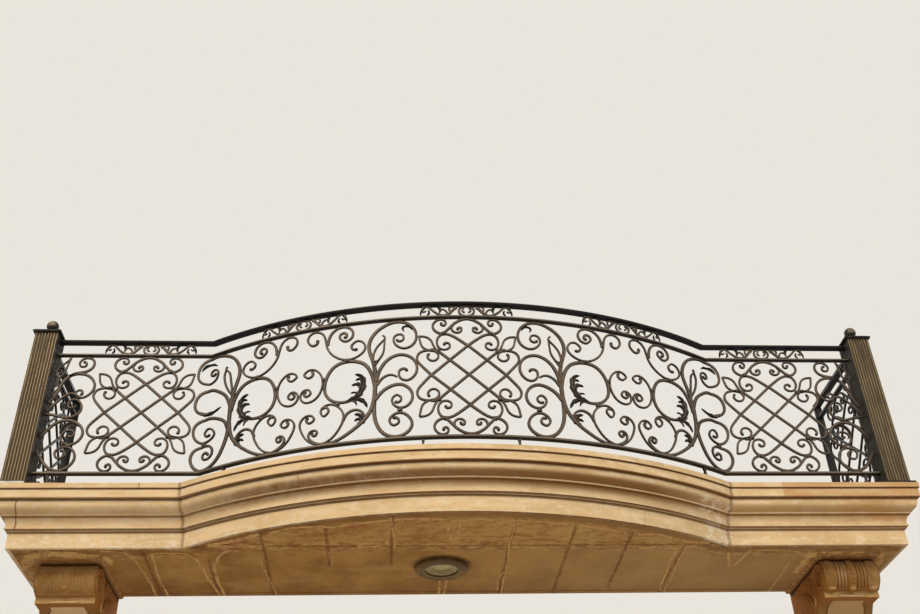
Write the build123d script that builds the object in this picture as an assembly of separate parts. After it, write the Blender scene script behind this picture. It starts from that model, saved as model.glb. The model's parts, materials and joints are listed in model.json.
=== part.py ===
from build123d import *
from math import asin, cos, degrees, sin, sqrt
import os

# Wrought iron balcony: a bow-fronted iron railing with square posts on a moulded stone slab.
# Millimetres. +X runs along the wall to the right, +Y runs into the wall, +Z is up.
# The origin is the middle of the slab's flat back, which bears on the wall.
# Railing drawings use u, the length along the rail line from the middle of the bow,
# and v, the height over the railing's zero, which lies rail_lift over the slab's top.

# Slab and rail line
slab_thickness = 316.0
rail_line_from_wall = 690.0
bow_half_chord = 1430.0
bow_rise = 415.0
post_centre_x = 2365.0

# The stone's bow stands a little to the left of the railing's and swings further out
stone_bow_x = -45.0
stone_bow_rise = 432.0

# Stone moulding round the slab's edge, as steps out from the rail line
core_step = -30.0
top_band_step = 91.0
top_band_height = 29.0
second_band_step = 84.0
second_band_height = 46.0
band_groove = 5.0
ovolo_step = 66.0
ovolo_height = 66.0
fillet_step = 30.0
fillet_height = 10.0
scotia_step = 6.0
scotia_height = 52.0
bead_step = 10.0
bead_height = 10.0
listel_step = 0.0
listel_height = 11.0
fascia_step = -10.0
stone_joint = 0.3

# Stone consoles under the slab
corbel_centre_x = 2067.0
corbel_width = 300.0
corbel_height = 700.0
corbel_cap_depth = 575.0
corbel_cap_height = 14.0
corbel_cap_overhang = 25.0
corbel_cap_edge = 10.0
corbel_neck_depth = 492.0
corbel_roll_depth = 545.0
corbel_roll_height = 166.0
corbel_ledge_depth = 478.0
corbel_ledge_height = 34.0
corbel_throat_depth = 385.0
corbel_shin_depth = 262.0
corbel_foot_depth = 90.0
corbel_panel_width = 190.0
corbel_panel_height = 400.0
corbel_panel_margin = 26.0
corbel_panel_sink = 14.0
corbel_panel_corner = 45.0

# Round lamp let into the underside
lamp_x = -130.0
lamp_from_wall = 405.0
lamp_ring_diameter = 288.0
lamp_ring_drop = 24.0
lamp_ring_let_in = 12.0
lamp_ring_edge = 6.0
lamp_opening_diameter = 176.0
lamp_dish_diameter = 118.0
lamp_dish_lift = 2.0
lamp_glass_step = 5.0
lamp_glass_steps = 3

# Posts
post_size = 130.0
post_height = 959.0
flutes_a_face = 7
flute_radius = 6.5
flute_outset = 2.3
post_base_size = 162.0
post_base_height = 10.0
post_cap_size = 156.0
post_cap_height = 16.0
ball_diameter = 68.0
ball_seat_diameter = 52.0
ball_seat_height = 8.0
ball_neck_diameter = 34.0
ball_neck_height = 38.0

# Rails
rail_lift = 29.0
handrail_width = 45.0
handrail_height = 18.0
handrail_centre_v = 900.0
upper_rail_width = 30.0
upper_rail_height = 12.0
upper_rail_centre_v = 812.0
bottom_rail_width = 30.0
bottom_rail_height = 15.0
bottom_rail_centre_v = 68.0
foot_size = 16.0
foot_from_post = 85.0
wall_plate_width = 50.0
wall_plate_thickness = 10.0

# Scroll work
bar_size = 12.0
tip_size = 7.0
leaf_bar = 7.0
seat_clearance = 0.3
collar_width = 22.0
collar_height = 13.0
middle_out = -6.0
bow_scroll_out = 4.0
bow_frieze_out = 6.0
kink_setback = 164.0
fold_lap = 0.5

# The scroll drawings were set out for these heights and lengths; they are stretched to
# the rails when a size above changes.
drawn_field = (75.8, 805.7)
drawn_frieze = (818.3, 890.7)
drawn_centre_stem, drawn_kink_stem, drawn_kink, drawn_post_face = (495.0, 1345.0, 1509.0, 2379.0)
drawn_bow_seat, drawn_side = (514.0, 615.0)
drawn_lattice_centre = (drawn_kink_stem + drawn_post_face) / 2
drawn_bay_centre = (drawn_centre_stem + drawn_kink_stem) / 2

# Worked out from the sizes above
slab_top = slab_thickness / 2
slab_bottom = -slab_thickness / 2
rail_zero = slab_top + rail_lift
bow_radius = (bow_half_chord ** 2 + bow_rise ** 2) / (2 * bow_rise)
bow_centre_y = bow_radius - bow_rise - rail_line_from_wall
bow_half_angle = asin(bow_half_chord / bow_radius)
bow_half_arc = bow_radius * bow_half_angle
post_inner_x = post_centre_x - post_size / 2
post_face_u = bow_half_arc + post_inner_x - bow_half_chord
kink_stem_u = bow_half_arc - kink_setback
bow_stretch = kink_stem_u / drawn_kink_stem
kink_stretch = kink_setback / (drawn_kink - drawn_kink_stem)
straight_stretch = (post_face_u - bow_half_arc) / (drawn_post_face - drawn_kink)
centre_stem_u = drawn_centre_stem * bow_stretch
bay_centre_u = (centre_stem_u + kink_stem_u) / 2
lattice_centre_u = bow_half_arc + (drawn_lattice_centre - drawn_kink) * straight_stretch
field_low = bottom_rail_centre_v + bottom_rail_height / 2
field_high = upper_rail_centre_v - upper_rail_height / 2
frieze_low = upper_rail_centre_v + upper_rail_height / 2
frieze_high = handrail_centre_v - handrail_height / 2
side_length = rail_line_from_wall - post_size / 2
side_clear = side_length - wall_plate_thickness
side_stretch = side_clear / drawn_side
stone_bow_radius = (bow_half_chord ** 2 + stone_bow_rise ** 2) / (2 * stone_bow_rise)
stone_bow_centre_y = stone_bow_radius - stone_bow_rise - rail_line_from_wall
stone_bow_half_angle = asin(bow_half_chord / stone_bow_radius)


def kink_x(step, rise=bow_rise):
    """X where a bow and its straight bay meet, for a line stepped out from the rail line."""
    return sqrt(bow_half_chord ** 2 + 2 * step * rise)


def bow_strip(inner, outer):
    """Plan of the railing's bow between two steps out from the rail line, ended at the kinks."""
    y_in = -rail_line_from_wall - inner
    y_out = -rail_line_from_wall - outer
    front = ThreePointArc((-kink_x(outer), y_out), (0, y_out - bow_rise), (kink_x(outer), y_out))
    back = ThreePointArc((kink_x(inner), y_in), (0, y_in - bow_rise), (-kink_x(inner), y_in))
    return make_face([front, Line(front @ 1, back @ 0), back, Line(back @ 1, front @ 0)])


def straight_strip(inner, outer, end_x):
    """Plan of the right straight bay between two steps, from the kink to end_x."""
    y_in = -rail_line_from_wall - inner
    y_out = -rail_line_from_wall - outer
    corners = [(kink_x(outer), y_out), (end_x, y_out), (end_x, y_in), (kink_x(inner), y_in)]
    return make_face(Polyline(*corners, close=True))


def at_height(plan, low, height):
    """A plan raised into a solid between low and low + height."""
    return Pos(0, 0, low) * extrude(plan, height, dir=(0, 0, 1))


def mirrored(shape):
    """The same piece on the left side."""
    return mirror(shape, about=Plane.YZ)


def rail_plane(u):
    """Plane that touches the rail line at u, with local X along the rail and local Y up."""
    if u <= bow_half_arc:
        turn = u / bow_radius
        spot = (bow_radius * sin(turn), bow_centre_y - bow_radius * cos(turn), rail_zero)
        return Plane(origin=spot, x_dir=(cos(turn), sin(turn), 0), z_dir=(sin(turn), -cos(turn), 0))
    spot = (bow_half_chord + u - bow_half_arc, -rail_line_from_wall, rail_zero)
    return Plane(origin=spot, x_dir=(1, 0, 0), z_dir=(0, -1, 0))


def forge(drawing, u, thickness=bar_size, out=0.0):
    """A flat drawing, centred on its own zero, cut as a bar-thick piece at u on the rail line."""
    return rail_plane(u) * Pos(0, 0, out - thickness / 2) * extrude(drawing, thickness)


def bar(points, width=bar_size, end_width=bar_size, tip=0.0):
    """A bent bar along hand-set centre points, tapering to end_width, with a round tip."""
    if len(points) == 2:
        line = Line(*points)
        stations = 1
    else:
        line = Spline(*points)
        stations = 2 * len(points)
    left = []
    right = []
    for i in range(stations + 1):
        along = i / stations
        half = (width + (end_width - width) * along) / 2
        spot = line @ along
        heading = line % along
        left.append((spot.X - heading.Y * half, spot.Y + heading.X * half))
        right.append((spot.X + heading.Y * half, spot.Y - heading.X * half))
    right.reverse()
    edge = Line if stations == 1 else Spline
    outline = [edge(*left), Line(left[-1], right[0]), edge(*right), Line(right[-1], left[0])]
    face = make_face(outline)
    if tip:
        face = face + Pos(*points[-1]) * Circle(tip)
    return face


def leaf(base, tip, bulge):
    """A pointed leaf from base to tip, bulging to each side by bulge."""
    mid = ((base[0] + tip[0]) / 2, (base[1] + tip[1]) / 2)
    along = Vector(tip[0] - base[0], tip[1] - base[1]).normalized()
    side = (mid[0] - along.Y * bulge, mid[1] + along.X * bulge)
    other = (mid[0] + along.Y * bulge, mid[1] - along.X * bulge)
    return make_face([ThreePointArc(base, side, tip), ThreePointArc(tip, other, base)])


def drawing_of(pieces):
    """All faces of a drawing welded into one sketch."""
    return Sketch() + pieces


# Stone

def floor_slab():
    """The slab behind its moulding, straight at the sides and bowed at the front."""
    half = post_centre_x + core_step
    y_front = -rail_line_from_wall - core_step
    reach = kink_x(core_step, stone_bow_rise)
    front = ThreePointArc(
        (stone_bow_x - reach, y_front),
        (stone_bow_x, y_front - stone_bow_rise),
        (stone_bow_x + reach, y_front),
    )
    rest = Polyline(front @ 1, (half, y_front), (half, 0), (-half, 0), (-half, y_front), front @ 0)
    slab = at_height(make_face([front, rest]), slab_bottom, slab_thickness)
    seat = Pos(lamp_x, -lamp_from_wall, slab_bottom + lamp_ring_let_in / 2)
    recess = Cylinder(lamp_ring_diameter / 2 + seat_clearance, lamp_ring_let_in)
    return slab - seat * recess


def moulding_profile():
    """Section of the moulding: local X is the step out from the rail line, local Y is height."""
    z = slab_top
    points_top = [
        (core_step + stone_joint, z),
        (top_band_step, z),
        (top_band_step, z - top_band_height),
        (second_band_step - band_groove, z - top_band_height),
        (second_band_step - band_groove, z - top_band_height - band_groove),
        (second_band_step, z - top_band_height - band_groove),
        (second_band_step, z - top_band_height - band_groove - second_band_height),
    ]
    z = points_top[-1][1]
    ovolo_top = (ovolo_step - band_groove, z)
    ovolo_side = (ovolo_step, z - ovolo_height * 0.45)
    ovolo_foot = (fillet_step, z - ovolo_height)
    z = ovolo_foot[1] - fillet_height
    scotia_top = (fillet_step - band_groove, z)
    scotia_side = (scotia_step + band_groove, z - scotia_height * 0.4)
    scotia_foot = (scotia_step, z - scotia_height)
    z = scotia_foot[1]
    points_low = [
        scotia_foot,
        (bead_step, z),
        (bead_step, z - bead_height),
        (listel_step, z - bead_height),
        (listel_step, z - bead_height - listel_height),
        (fascia_step, z - bead_height - listel_height),
        (fascia_step, slab_bottom),
        (core_step + stone_joint, slab_bottom),
        points_top[0],
    ]
    outline = [
        Polyline(*points_top, ovolo_top),
        ThreePointArc(ovolo_top, ovolo_side, ovolo_foot),
        Polyline(ovolo_foot, (fillet_step, ovolo_foot[1] - fillet_height), scotia_top),
        ThreePointArc(scotia_top, scotia_side, scotia_foot),
        Polyline(*points_low),
    ]
    return make_face(outline)


def kink_mitre(bow_x=0.0):
    """Upright plane through the stone's right kink, with its normal to the straight bay."""
    step = top_band_step
    heading = Vector(kink_x(step, stone_bow_rise) - bow_half_chord, -step, 0).normalized()
    normal = Vector(-heading.Y, heading.X, 0)
    kink = (bow_x + bow_half_chord, -rail_line_from_wall, 0)
    return Plane(origin=kink, x_dir=heading, z_dir=normal)


def cornice_bow():
    """Moulding round the bow, turned about the bow's centre and cut on the kink mitres."""
    spare = 4.0
    arc = 2 * degrees(stone_bow_half_angle) + 2 * spare
    section = Plane(origin=(0, stone_bow_centre_y, 0), x_dir=(0, -1, 0), z_dir=(-1, 0, 0))
    profile = section * Pos(stone_bow_radius, 0, 0) * moulding_profile()
    axis = Axis((0, stone_bow_centre_y, 0), (0, 0, 1))
    ring = revolve(profile.rotate(axis, -arc / 2), axis, arc)
    cut = split(ring, bisect_by=kink_mitre(), keep=Keep.BOTTOM)
    cut = mirrored(split(mirrored(cut), bisect_by=kink_mitre(), keep=Keep.BOTTOM))
    return Pos(stone_bow_x, 0, 0) * cut


def cornice_side(bow_x):
    """Moulding of the right straight bay and its return, for a bow centred on bow_x."""
    corner = Plane(
        origin=(post_centre_x, -rail_line_from_wall, 0), x_dir=(0, 0, 1), z_dir=(1, 1, 0)
    )
    run = post_centre_x + 2 * top_band_step
    front_section = Plane(origin=(0, -rail_line_from_wall, 0), x_dir=(0, -1, 0), z_dir=(-1, 0, 0))
    front = extrude(front_section * moulding_profile(), -run)
    front = split(front, bisect_by=kink_mitre(bow_x), keep=Keep.TOP)
    front = split(front, bisect_by=corner, keep=Keep.BOTTOM)
    side_section = Plane(origin=(post_centre_x, 0, 0), x_dir=(1, 0, 0), z_dir=(0, -1, 0))
    side = extrude(side_section * moulding_profile(), rail_line_from_wall + 2 * top_band_step)
    side = split(side, bisect_by=corner, keep=Keep.TOP)
    return front + side


def corbel():
    """Stone console: a cap slab, a roll, a ledge and a panelled leg curved back to the wall."""
    cap_low = slab_bottom - corbel_cap_height
    roll_low = cap_low - corbel_roll_height
    ledge_low = roll_low - corbel_ledge_height
    foot_z = slab_bottom - corbel_height
    neck = -corbel_neck_depth
    ledge = -corbel_ledge_depth
    leg = [
        (-corbel_throat_depth, ledge_low),
        (-corbel_shin_depth, ledge_low - corbel_height / 5),
        (-corbel_foot_depth, foot_z),
    ]
    outline = [
        Line((0, cap_low), (neck, cap_low)),
        ThreePointArc(
            (neck, cap_low),
            (-corbel_roll_depth, cap_low - corbel_roll_height / 2),
            (neck, roll_low),
        ),
        Polyline((neck, roll_low), (ledge, roll_low), (ledge, ledge_low), leg[0]),
        Spline(*leg),
        Polyline((-corbel_foot_depth, foot_z), (0, foot_z), (0, cap_low)),
    ]
    across = Plane(origin=(corbel_centre_x, 0, 0), x_dir=(0, 1, 0), z_dir=(1, 0, 0))
    body = extrude(across * make_face(outline), corbel_width / 2, both=True)
    panel_z = ledge_low - corbel_panel_margin - corbel_panel_height / 2
    panel = RectangleRounded(corbel_panel_width, corbel_panel_height, corbel_panel_corner)
    front = Plane(origin=(corbel_centre_x, 0, panel_z), x_dir=(1, 0, 0), z_dir=(0, -1, 0))
    sinking = extrude(front * panel, corbel_cap_depth) - Pos(0, corbel_panel_sink, 0) * body
    cap = Pos(corbel_centre_x, 0, slab_bottom) * Box(
        corbel_width + 2 * corbel_cap_overhang,
        corbel_cap_depth,
        corbel_cap_height,
        align=(Align.CENTER, Align.MAX, Align.MAX),
    )
    rim = cap.faces().sort_by(Axis.Z)[0].edges().sort_by(Axis.Y)[:-1]
    return body - sinking + fillet(rim, corbel_cap_edge)


def lamp_section(points):
    """A turned part of the lamp from half-section points: radius, height over the underside."""
    section = Plane(origin=(0, 0, slab_bottom), x_dir=(1, 0, 0), z_dir=(0, -1, 0))
    turned = revolve(section * make_face(Polyline(*points, close=True)), Axis.Z, 360)
    return Pos(lamp_x, -lamp_from_wall, 0) * turned


def soffit_lamp_ring():
    """Broad round metal rim, let into the slab, round the glass."""
    outer = lamp_ring_diameter / 2
    bore = lamp_opening_diameter / 2
    low = -lamp_ring_drop
    edge = lamp_ring_edge
    return lamp_section([
        (bore, lamp_ring_let_in), (outer, lamp_ring_let_in), (outer, low + edge),
        (outer - edge, low), (bore + edge / 2, low), (bore, low + edge / 2),
    ])


def soffit_lamp_glass():
    """Pressed glass dish, stepped up towards its flat middle."""
    rim = lamp_opening_diameter / 2 - seat_clearance
    dish = lamp_dish_diameter / 2
    ridge = (rim - dish) / lamp_glass_steps
    points = [(0, lamp_ring_let_in), (rim, lamp_ring_let_in)]
    for i in range(lamp_glass_steps):
        height = lamp_dish_lift - (lamp_glass_steps - i) * lamp_glass_step
        points.append((rim - i * ridge, height))
        points.append((rim - (i + 1) * ridge, height))
    points.append((dish, lamp_dish_lift))
    points.append((0, lamp_dish_lift))
    return lamp_section(points)


# Posts

def post_shaft():
    """Square hollow-looking post with upright flutes on its four faces."""
    plan = Rectangle(post_size, post_size)
    pitch = post_size / (flutes_a_face + 1)
    for i in range(flutes_a_face):
        place = (i + 1) * pitch - post_size / 2
        edge = post_size / 2 + flute_outset
        for spot in ((place, edge), (place, -edge), (edge, place), (-edge, place)):
            plan = plan - Pos(*spot) * Circle(flute_radius)
    low = slab_top + post_base_height
    shaft = extrude(plan, post_height - post_base_height)
    return Pos(post_centre_x, -rail_line_from_wall, low) * shaft


def post_plate(size, low, height, edge):
    """Square plate with a chamfered edge on the post's centre line."""
    plate = Box(size, size, height, align=(Align.CENTER, Align.CENTER, Align.MIN))
    plate = chamfer(plate.faces().sort_by(Axis.Z)[-1].edges(), edge)
    return Pos(post_centre_x, -rail_line_from_wall, low) * plate


def post_ball():
    """Turned seat, neck and ball on the post's cap."""
    low = slab_top + post_height + post_cap_height
    upright = (Align.CENTER, Align.CENTER, Align.MIN)
    seat = Cylinder(ball_seat_diameter / 2, ball_seat_height, align=upright)
    neck = Cylinder(ball_neck_diameter / 2, ball_neck_height, align=upright)
    middle = ball_neck_height - ball_neck_diameter / 4 + ball_diameter / 2
    ball = Pos(0, 0, middle) * Sphere(ball_diameter / 2)
    return Pos(post_centre_x, -rail_line_from_wall, low) * (seat + neck + ball)


# Rails

def bow_rail(width, height, centre_v):
    """Flat rail round the bow."""
    low = rail_zero + centre_v - height / 2
    return at_height(bow_strip(-width / 2, width / 2), low, height)


def straight_rail(width, height, centre_v):
    """Flat rail of the right straight bay, from the kink to the post."""
    low = rail_zero + centre_v - height / 2
    return at_height(straight_strip(-width / 2, width / 2, post_inner_x), low, height)


def foot(u):
    """Small square foot between the slab and the bottom rail."""
    top = bottom_rail_centre_v - bottom_rail_height / 2
    block = Box(foot_size, top + rail_lift, foot_size)
    return rail_plane(u) * Pos(0, (top - rail_lift) / 2, 0) * block


def side_rails():
    """Three rails from the post's back to the wall, welded to an upright wall plate."""
    start = -rail_line_from_wall + post_size / 2
    frame = None
    for width, height, centre_v in (
        (handrail_width, handrail_height, handrail_centre_v),
        (upper_rail_width, upper_rail_height, upper_rail_centre_v),
        (bottom_rail_width, bottom_rail_height, bottom_rail_centre_v),
    ):
        rail = Pos(post_centre_x, start + side_length / 2, rail_zero + centre_v) * Box(
            width, side_length, height
        )
        frame = rail if frame is None else frame + rail
    plate_height = rail_lift + handrail_centre_v + handrail_height / 2
    plate = Pos(post_centre_x, -wall_plate_thickness / 2, slab_top + plate_height / 2) * Box(
        wall_plate_width, wall_plate_thickness, plate_height
    )
    return frame + plate


# Scroll work, drawn on the u and v axes

def fit_between(drawing, drawn_at, drawn, room, stretch, left=-600.0, right=600.0):
    """A drawing cut flat where it bears, moved to its own zero, stretched along the rail
    line and fitted between two heights."""
    low, high = drawn
    middle = (drawn_at + (left + right) / 2, (low + high) / 2)
    fitted = drawing & (Pos(*middle) * Rectangle(right - left, high - low))
    squeeze = (room[1] - room[0] - 2 * seat_clearance) / (high - low)
    if abs(squeeze - 1) > 1e-6 or abs(stretch - 1) > 1e-3:
        fitted = scale(fitted, by=(stretch, squeeze, 1))
        drawn_at = drawn_at * stretch
    return Pos(-drawn_at, room[0] + seat_clearance - low * squeeze) * fitted


def fit_field(drawing, drawn_at, stretch, left=-600.0, right=600.0):
    """Fits a drawing between the bottom rail and the upper rail."""
    room = (field_low, field_high)
    return fit_between(drawing, drawn_at, drawn_field, room, stretch, left, right)


def fit_frieze(drawing, stretch):
    """Fits a drawing between the upper rail and the handrail."""
    return fit_between(drawing, 0.0, drawn_frieze, (frieze_low, frieze_high), stretch)


def collar(u, v, turn=0.0):
    """Wrapped clasp round two bars."""
    return Pos(u, v) * Rot(0, 0, turn) * Rectangle(collar_width, collar_height)


def lattice_drawing():
    """Nine-crossing lattice with lobed ends, leaf buds and a scroll crest above and below."""
    middle = sum(drawn_field) / 2
    half_u = 100.0
    half_v = 92.0
    quarter = []
    lobe = [
        (0, 2 * half_v), (-53, 227), (-87, 250), (-118, 262), (-146, 254), (-164, 228),
        (-166, 195), (-148, 165), (-120, 160), (-98, 177), (-115, 203),
    ]
    side_lobe = [
        (-2 * half_u, 0), (-246, 53), (-275, 108), (-262, 140), (-221, 155), (-175, 145),
        (-160, 115), (-190, 88), (-222, 110),
    ]
    bud_one = [(-160, 148), (-190, 180), (-205, 215), (-262, 262)]
    bud_two = [(-160, 148), (-215, 165), (-245, 195), (-262, 262)]
    crest_scroll = [
        (-128, 264), (-146, 265), (-170, 277), (-187, 303), (-184, 330), (-165, 353),
        (-140, 360), (-118, 345), (-118, 327), (-136, 318),
    ]
    crest_arch = [
        (-130, 266), (-114, 280), (-93, 303), (-73, 325), (-51, 342), (-27, 356), (0, 361),
    ]
    crest_curl = [
        (-80, 320), (-86, 300), (-80, 281), (-61, 269), (-41, 273), (-31, 288), (-36, 301),
        (-48, 299),
    ]
    for points, tip in (
        (lobe, tip_size), (side_lobe, tip_size), (bud_one, 0), (bud_two, 0),
        (crest_scroll, tip_size), (crest_arch, 0), (crest_curl, tip_size),
    ):
        width = leaf_bar if points in (bud_one, bud_two) else bar_size
        quarter.append(bar(points, width, width * 0.8, tip))
    quarter.append(collar(-160, 150, -45))
    quarter.append(collar(-130, 267, 90))
    pieces = list(quarter)
    for piece in quarter:
        pieces.append(mirror(piece, about=Plane.YZ))
        pieces.append(mirror(piece, about=Plane.XZ))
        pieces.append(mirror(mirror(piece, about=Plane.YZ), about=Plane.XZ))
    for i in (-1, 0, 1):
        centre = (i * half_u, i * half_v)
        for lean in (-1, 1):
            run = 1.6 if i == 0 else 1.0
            shift = (centre[0] * lean, centre[1])
            reach = (half_u * run * -lean, half_v * run)
            pieces.append(
                bar([
                    (shift[0] - reach[0], shift[1] - reach[1]),
                    (shift[0] + reach[0], shift[1] + reach[1]),
                ])
            )
    return Pos(0, middle) * drawing_of(pieces)


def centre_tree_drawing():
    """Branching scrolls beside the middle lattice, drawn for the right side."""
    pieces = [
        bar([(495, 400), (500, 470), (510, 540), (529, 600), (536, 645), (515, 715), (460, 772),
             (380, 800), (310, 768), (278, 705), (290, 650), (338, 620), (385, 640), (400, 675),
             (385, 708), (352, 700)], 26, 9, tip_size),
        bar([(495, 420), (470, 500), (420, 560), (365, 578), (300, 550), (278, 500), (290, 440),
             (335, 415), (368, 440), (370, 470)], 14, 10, tip_size),
        bar([(490, 400), (460, 440), (415, 457), (378, 438)], 12, 9, tip_size),
        bar([(497, 310), (470, 345), (420, 382), (365, 392), (315, 360), (300, 310), (325, 262),
             (365, 250), (403, 278), (405, 310), (380, 322)], 14, 10, tip_size),
        bar([(495, 420), (500, 330), (502, 240), (482, 150), (440, 98), (390, 82), (330, 103),
             (303, 150), (320, 195), (365, 222), (405, 208), (420, 175), (395, 153)], 24, 9,
            tip_size),
        bar([(503, 520), (478, 570), (462, 630), (452, 705)], leaf_bar, leaf_bar),
        bar([(503, 520), (505, 580), (490, 640), (452, 705)], leaf_bar, leaf_bar),
        collar(366, 238, 0),
    ]
    return drawing_of(pieces)


def kink_tree_drawing():
    """Branching scrolls that fold over the kink, drawn for the right side."""
    pieces = [
        bar([(1343, 400), (1339, 480), (1322, 560), (1304, 640), (1321, 705), (1369, 762),
             (1430, 794), (1499, 800), (1558, 758), (1575, 695), (1562, 645), (1520, 625),
             (1474, 637), (1456, 675), (1472, 710), (1494, 698)], 24, 9, tip_size),
        bar([(1347, 440), (1382, 510), (1435, 553), (1492, 575), (1545, 555), (1570, 500),
             (1560, 452), (1515, 427), (1469, 437), (1414, 455)], 14, 16, tip_size),
        bar([(1350, 300), (1372, 345), (1425, 380), (1499, 395), (1556, 362), (1566, 310),
             (1544, 265), (1484, 250), (1436, 285), (1455, 320), (1488, 322)], 14, 10, tip_size),
        bar([(1343, 420), (1342, 340), (1347, 250), (1364, 190), (1399, 122), (1449, 84),
             (1519, 84), (1562, 140), (1549, 200), (1509, 222), (1449, 212), (1434, 172),
             (1460, 142), (1488, 160)], 24, 9, tip_size),
        bar([(1336, 500), (1372, 566), (1392, 630), (1400, 690)], leaf_bar, leaf_bar),
        bar([(1336, 500), (1350, 580), (1366, 640), (1400, 690)], leaf_bar, leaf_bar),
        collar(1484, 236, 0),
    ]
    return drawing_of(pieces)


def post_tree_drawing():
    """Scrolls that spring from the right post."""
    pieces = [
        bar([(2385, 500), (2352, 540), (2336, 585), (2322, 630), (2298, 667), (2268, 686),
             (2226, 690), (2185, 677), (2154, 645), (2142, 612), (2152, 572), (2180, 543),
             (2210, 534), (2234, 549), (2237, 572), (2220, 586)], 16, 9, tip_size),
        bar([(2385, 440), (2350, 478), (2320, 516), (2290, 546), (2260, 560), (2230, 550),
             (2206, 536)], 12, 9),
        bar([(2292, 672), (2262, 691), (2226, 700), (2188, 715), (2167, 748), (2177, 784),
             (2207, 800), (2238, 786), (2248, 759), (2236, 737), (2215, 738)], 14, 9, tip_size),
        bar([(2345, 660), (2322, 692), (2313, 735), (2298, 806)], leaf_bar, leaf_bar),
        bar([(2345, 660), (2366, 688), (2354, 732), (2322, 768), (2298, 806)], leaf_bar, leaf_bar),
        bar([(2345, 660), (2350, 640), (2334, 600)], leaf_bar, leaf_bar),
        bar([(2379, 430), (2320, 420), (2245, 405), (2192, 450), (2200, 505), (2240, 518),
             (2263, 478)], 12, 9, tip_size),
        bar([(2379, 290), (2350, 330), (2315, 370), (2235, 390), (2157, 312), (2180, 258),
             (2222, 242), (2268, 285), (2240, 322), (2208, 315)], 14, 9, tip_size),
        bar([(2379, 200), (2352, 160), (2314, 112), (2245, 83), (2174, 155), (2195, 210),
             (2240, 225), (2280, 195), (2262, 158), (2235, 172)], 14, 9, tip_size),
        collar(2222, 234, 0),
    ]
    return drawing_of(pieces)


def bow_half_drawing():
    """Half of a bow bay, drawn right of the middle: ring, rising stem, crest and foot scrolls."""
    pieces = [
        bar([(524, 440), (532, 480), (553, 523), (594, 556), (652, 569), (719, 551),
             (762, 495), (776, 440), (769, 380), (729, 334), (662, 318), (610, 345), (578, 395),
             (577, 450), (628, 487)], 20, 10, tip_size),
        bar([(524, 330), (532, 255), (568, 185), (629, 130), (700, 90), (775, 82)], 20, 12),
        bar([(859, 715), (886, 735), (880, 775), (839, 799), (800, 770), (774, 680), (719, 605),
             (655, 580), (596, 600), (565, 642), (578, 682), (612, 690), (629, 668)], 10, 10,
            tip_size),
        Pos(859, 715) * Circle(tip_size),
        bar([(684, 735), (656, 722), (640, 752), (660, 788), (700, 800), (745, 765), (768, 690)],
            10, 12),
        Pos(684, 735) * Circle(tip_size),
        bar([(880, 505), (896, 530), (865, 552), (815, 525), (786, 460), (800, 400), (845, 355),
             (890, 350), (905, 385), (885, 408)], 10, 10, tip_size),
        Pos(880, 505) * Circle(tip_size),
        bar([(754, 262), (785, 252), (783, 292), (745, 312), (695, 290), (664, 230), (685, 160),
             (735, 100), (785, 83), (850, 108), (895, 175), (898, 225), (869, 262), (835, 250),
             (844, 222)], 10, 10, tip_size),
        Pos(754, 262) * Circle(tip_size),
        bar([(775, 82), (830, 108), (853, 140), (835, 168), (803, 155), (815, 136)], 12, 9,
            tip_size),
        bar([(668, 205), (645, 245), (600, 262), (560, 235), (575, 200), (609, 205)], 12, 9,
            tip_size),
        leaf((610, 335), (586, 262), 16),
        collar(782, 480, 90),
        collar(664, 574, 0),
        collar(690, 312, 0),
    ]
    return drawing_of(pieces)


def frieze_drawing():
    """Low scroll strip between the two upper rails, mirrored about its middle."""
    middle = sum(drawn_frieze) / 2
    top = drawn_frieze[1] - leaf_bar / 2
    low = drawn_frieze[0] + leaf_bar / 2
    half = [
        bar([(0, top), (26, top - 4), (34, middle), (26, low + 4), (0, low)], leaf_bar, leaf_bar),
        bar([(34, middle), (60, low + 6), (88, low + 2), (100, middle - 6), (84, middle + 4)],
            leaf_bar, leaf_bar, 5),
        bar([(62, middle + 8), (72, top - 6), (100, top - 2), (124, middle + 4), (150, low + 4),
             (176, low + 4), (184, middle - 4), (168, middle)], leaf_bar, leaf_bar, 5),
        bar([(140, middle - 10), (150, middle + 14), (178, top - 4), (206, middle + 8),
             (232, low + 8), (250, low + 1)], leaf_bar, leaf_bar, 4),
    ]
    pieces = list(half)
    for piece in half:
        pieces.append(mirror(piece, about=Plane.YZ))
    return drawing_of(pieces)


def kink_tree():
    """The kink tree folded at the kink: its bow part and its straight part welded together."""
    tall = 2 * handrail_centre_v
    wide = 2 * post_centre_x
    before = Pos(fold_lap - wide / 2, tall / 2) * Rectangle(wide, tall)
    behind = Pos(wide / 2 - fold_lap, tall / 2) * Rectangle(wide, tall)
    near = fit_field(kink_tree_drawing(), drawn_kink, kink_stretch) & before
    far = fit_field(kink_tree_drawing(), drawn_kink, straight_stretch) & behind
    touch = kink_setback / 2
    bow_part = forge(Pos(touch, 0) * near, bow_half_arc - touch)
    straight_part = forge(Pos(-bar_size, 0) * far, bow_half_arc + bar_size)
    return bow_part + straight_part


def bow_bay():
    """Both halves of the right bow bay."""
    half = bay_centre_u - centre_stem_u
    seat = drawn_bow_seat - drawn_bay_centre
    drawing = fit_field(bow_half_drawing(), drawn_bay_centre, bow_stretch, left=seat)
    other = mirror(drawing, about=Plane.YZ)
    inner = forge(Pos(half / 2, 0) * drawing, bay_centre_u - half / 2, out=bow_scroll_out)
    outer = forge(Pos(-half / 2, 0) * other, bay_centre_u + half / 2, out=bow_scroll_out)
    return Compound(children=[inner, outer])


def side_lattice():
    """The lattice repeated on the side return."""
    middle = -rail_line_from_wall + post_size / 2 + side_clear / 2
    plane = Plane(origin=(post_centre_x, middle, rail_zero), x_dir=(0, 1, 0), z_dir=(1, 0, 0))
    drawing = fit_field(lattice_drawing(), 0.0, side_stretch)
    return plane * Pos(0, 0, -bar_size / 2) * extrude(drawing, bar_size)


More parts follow.
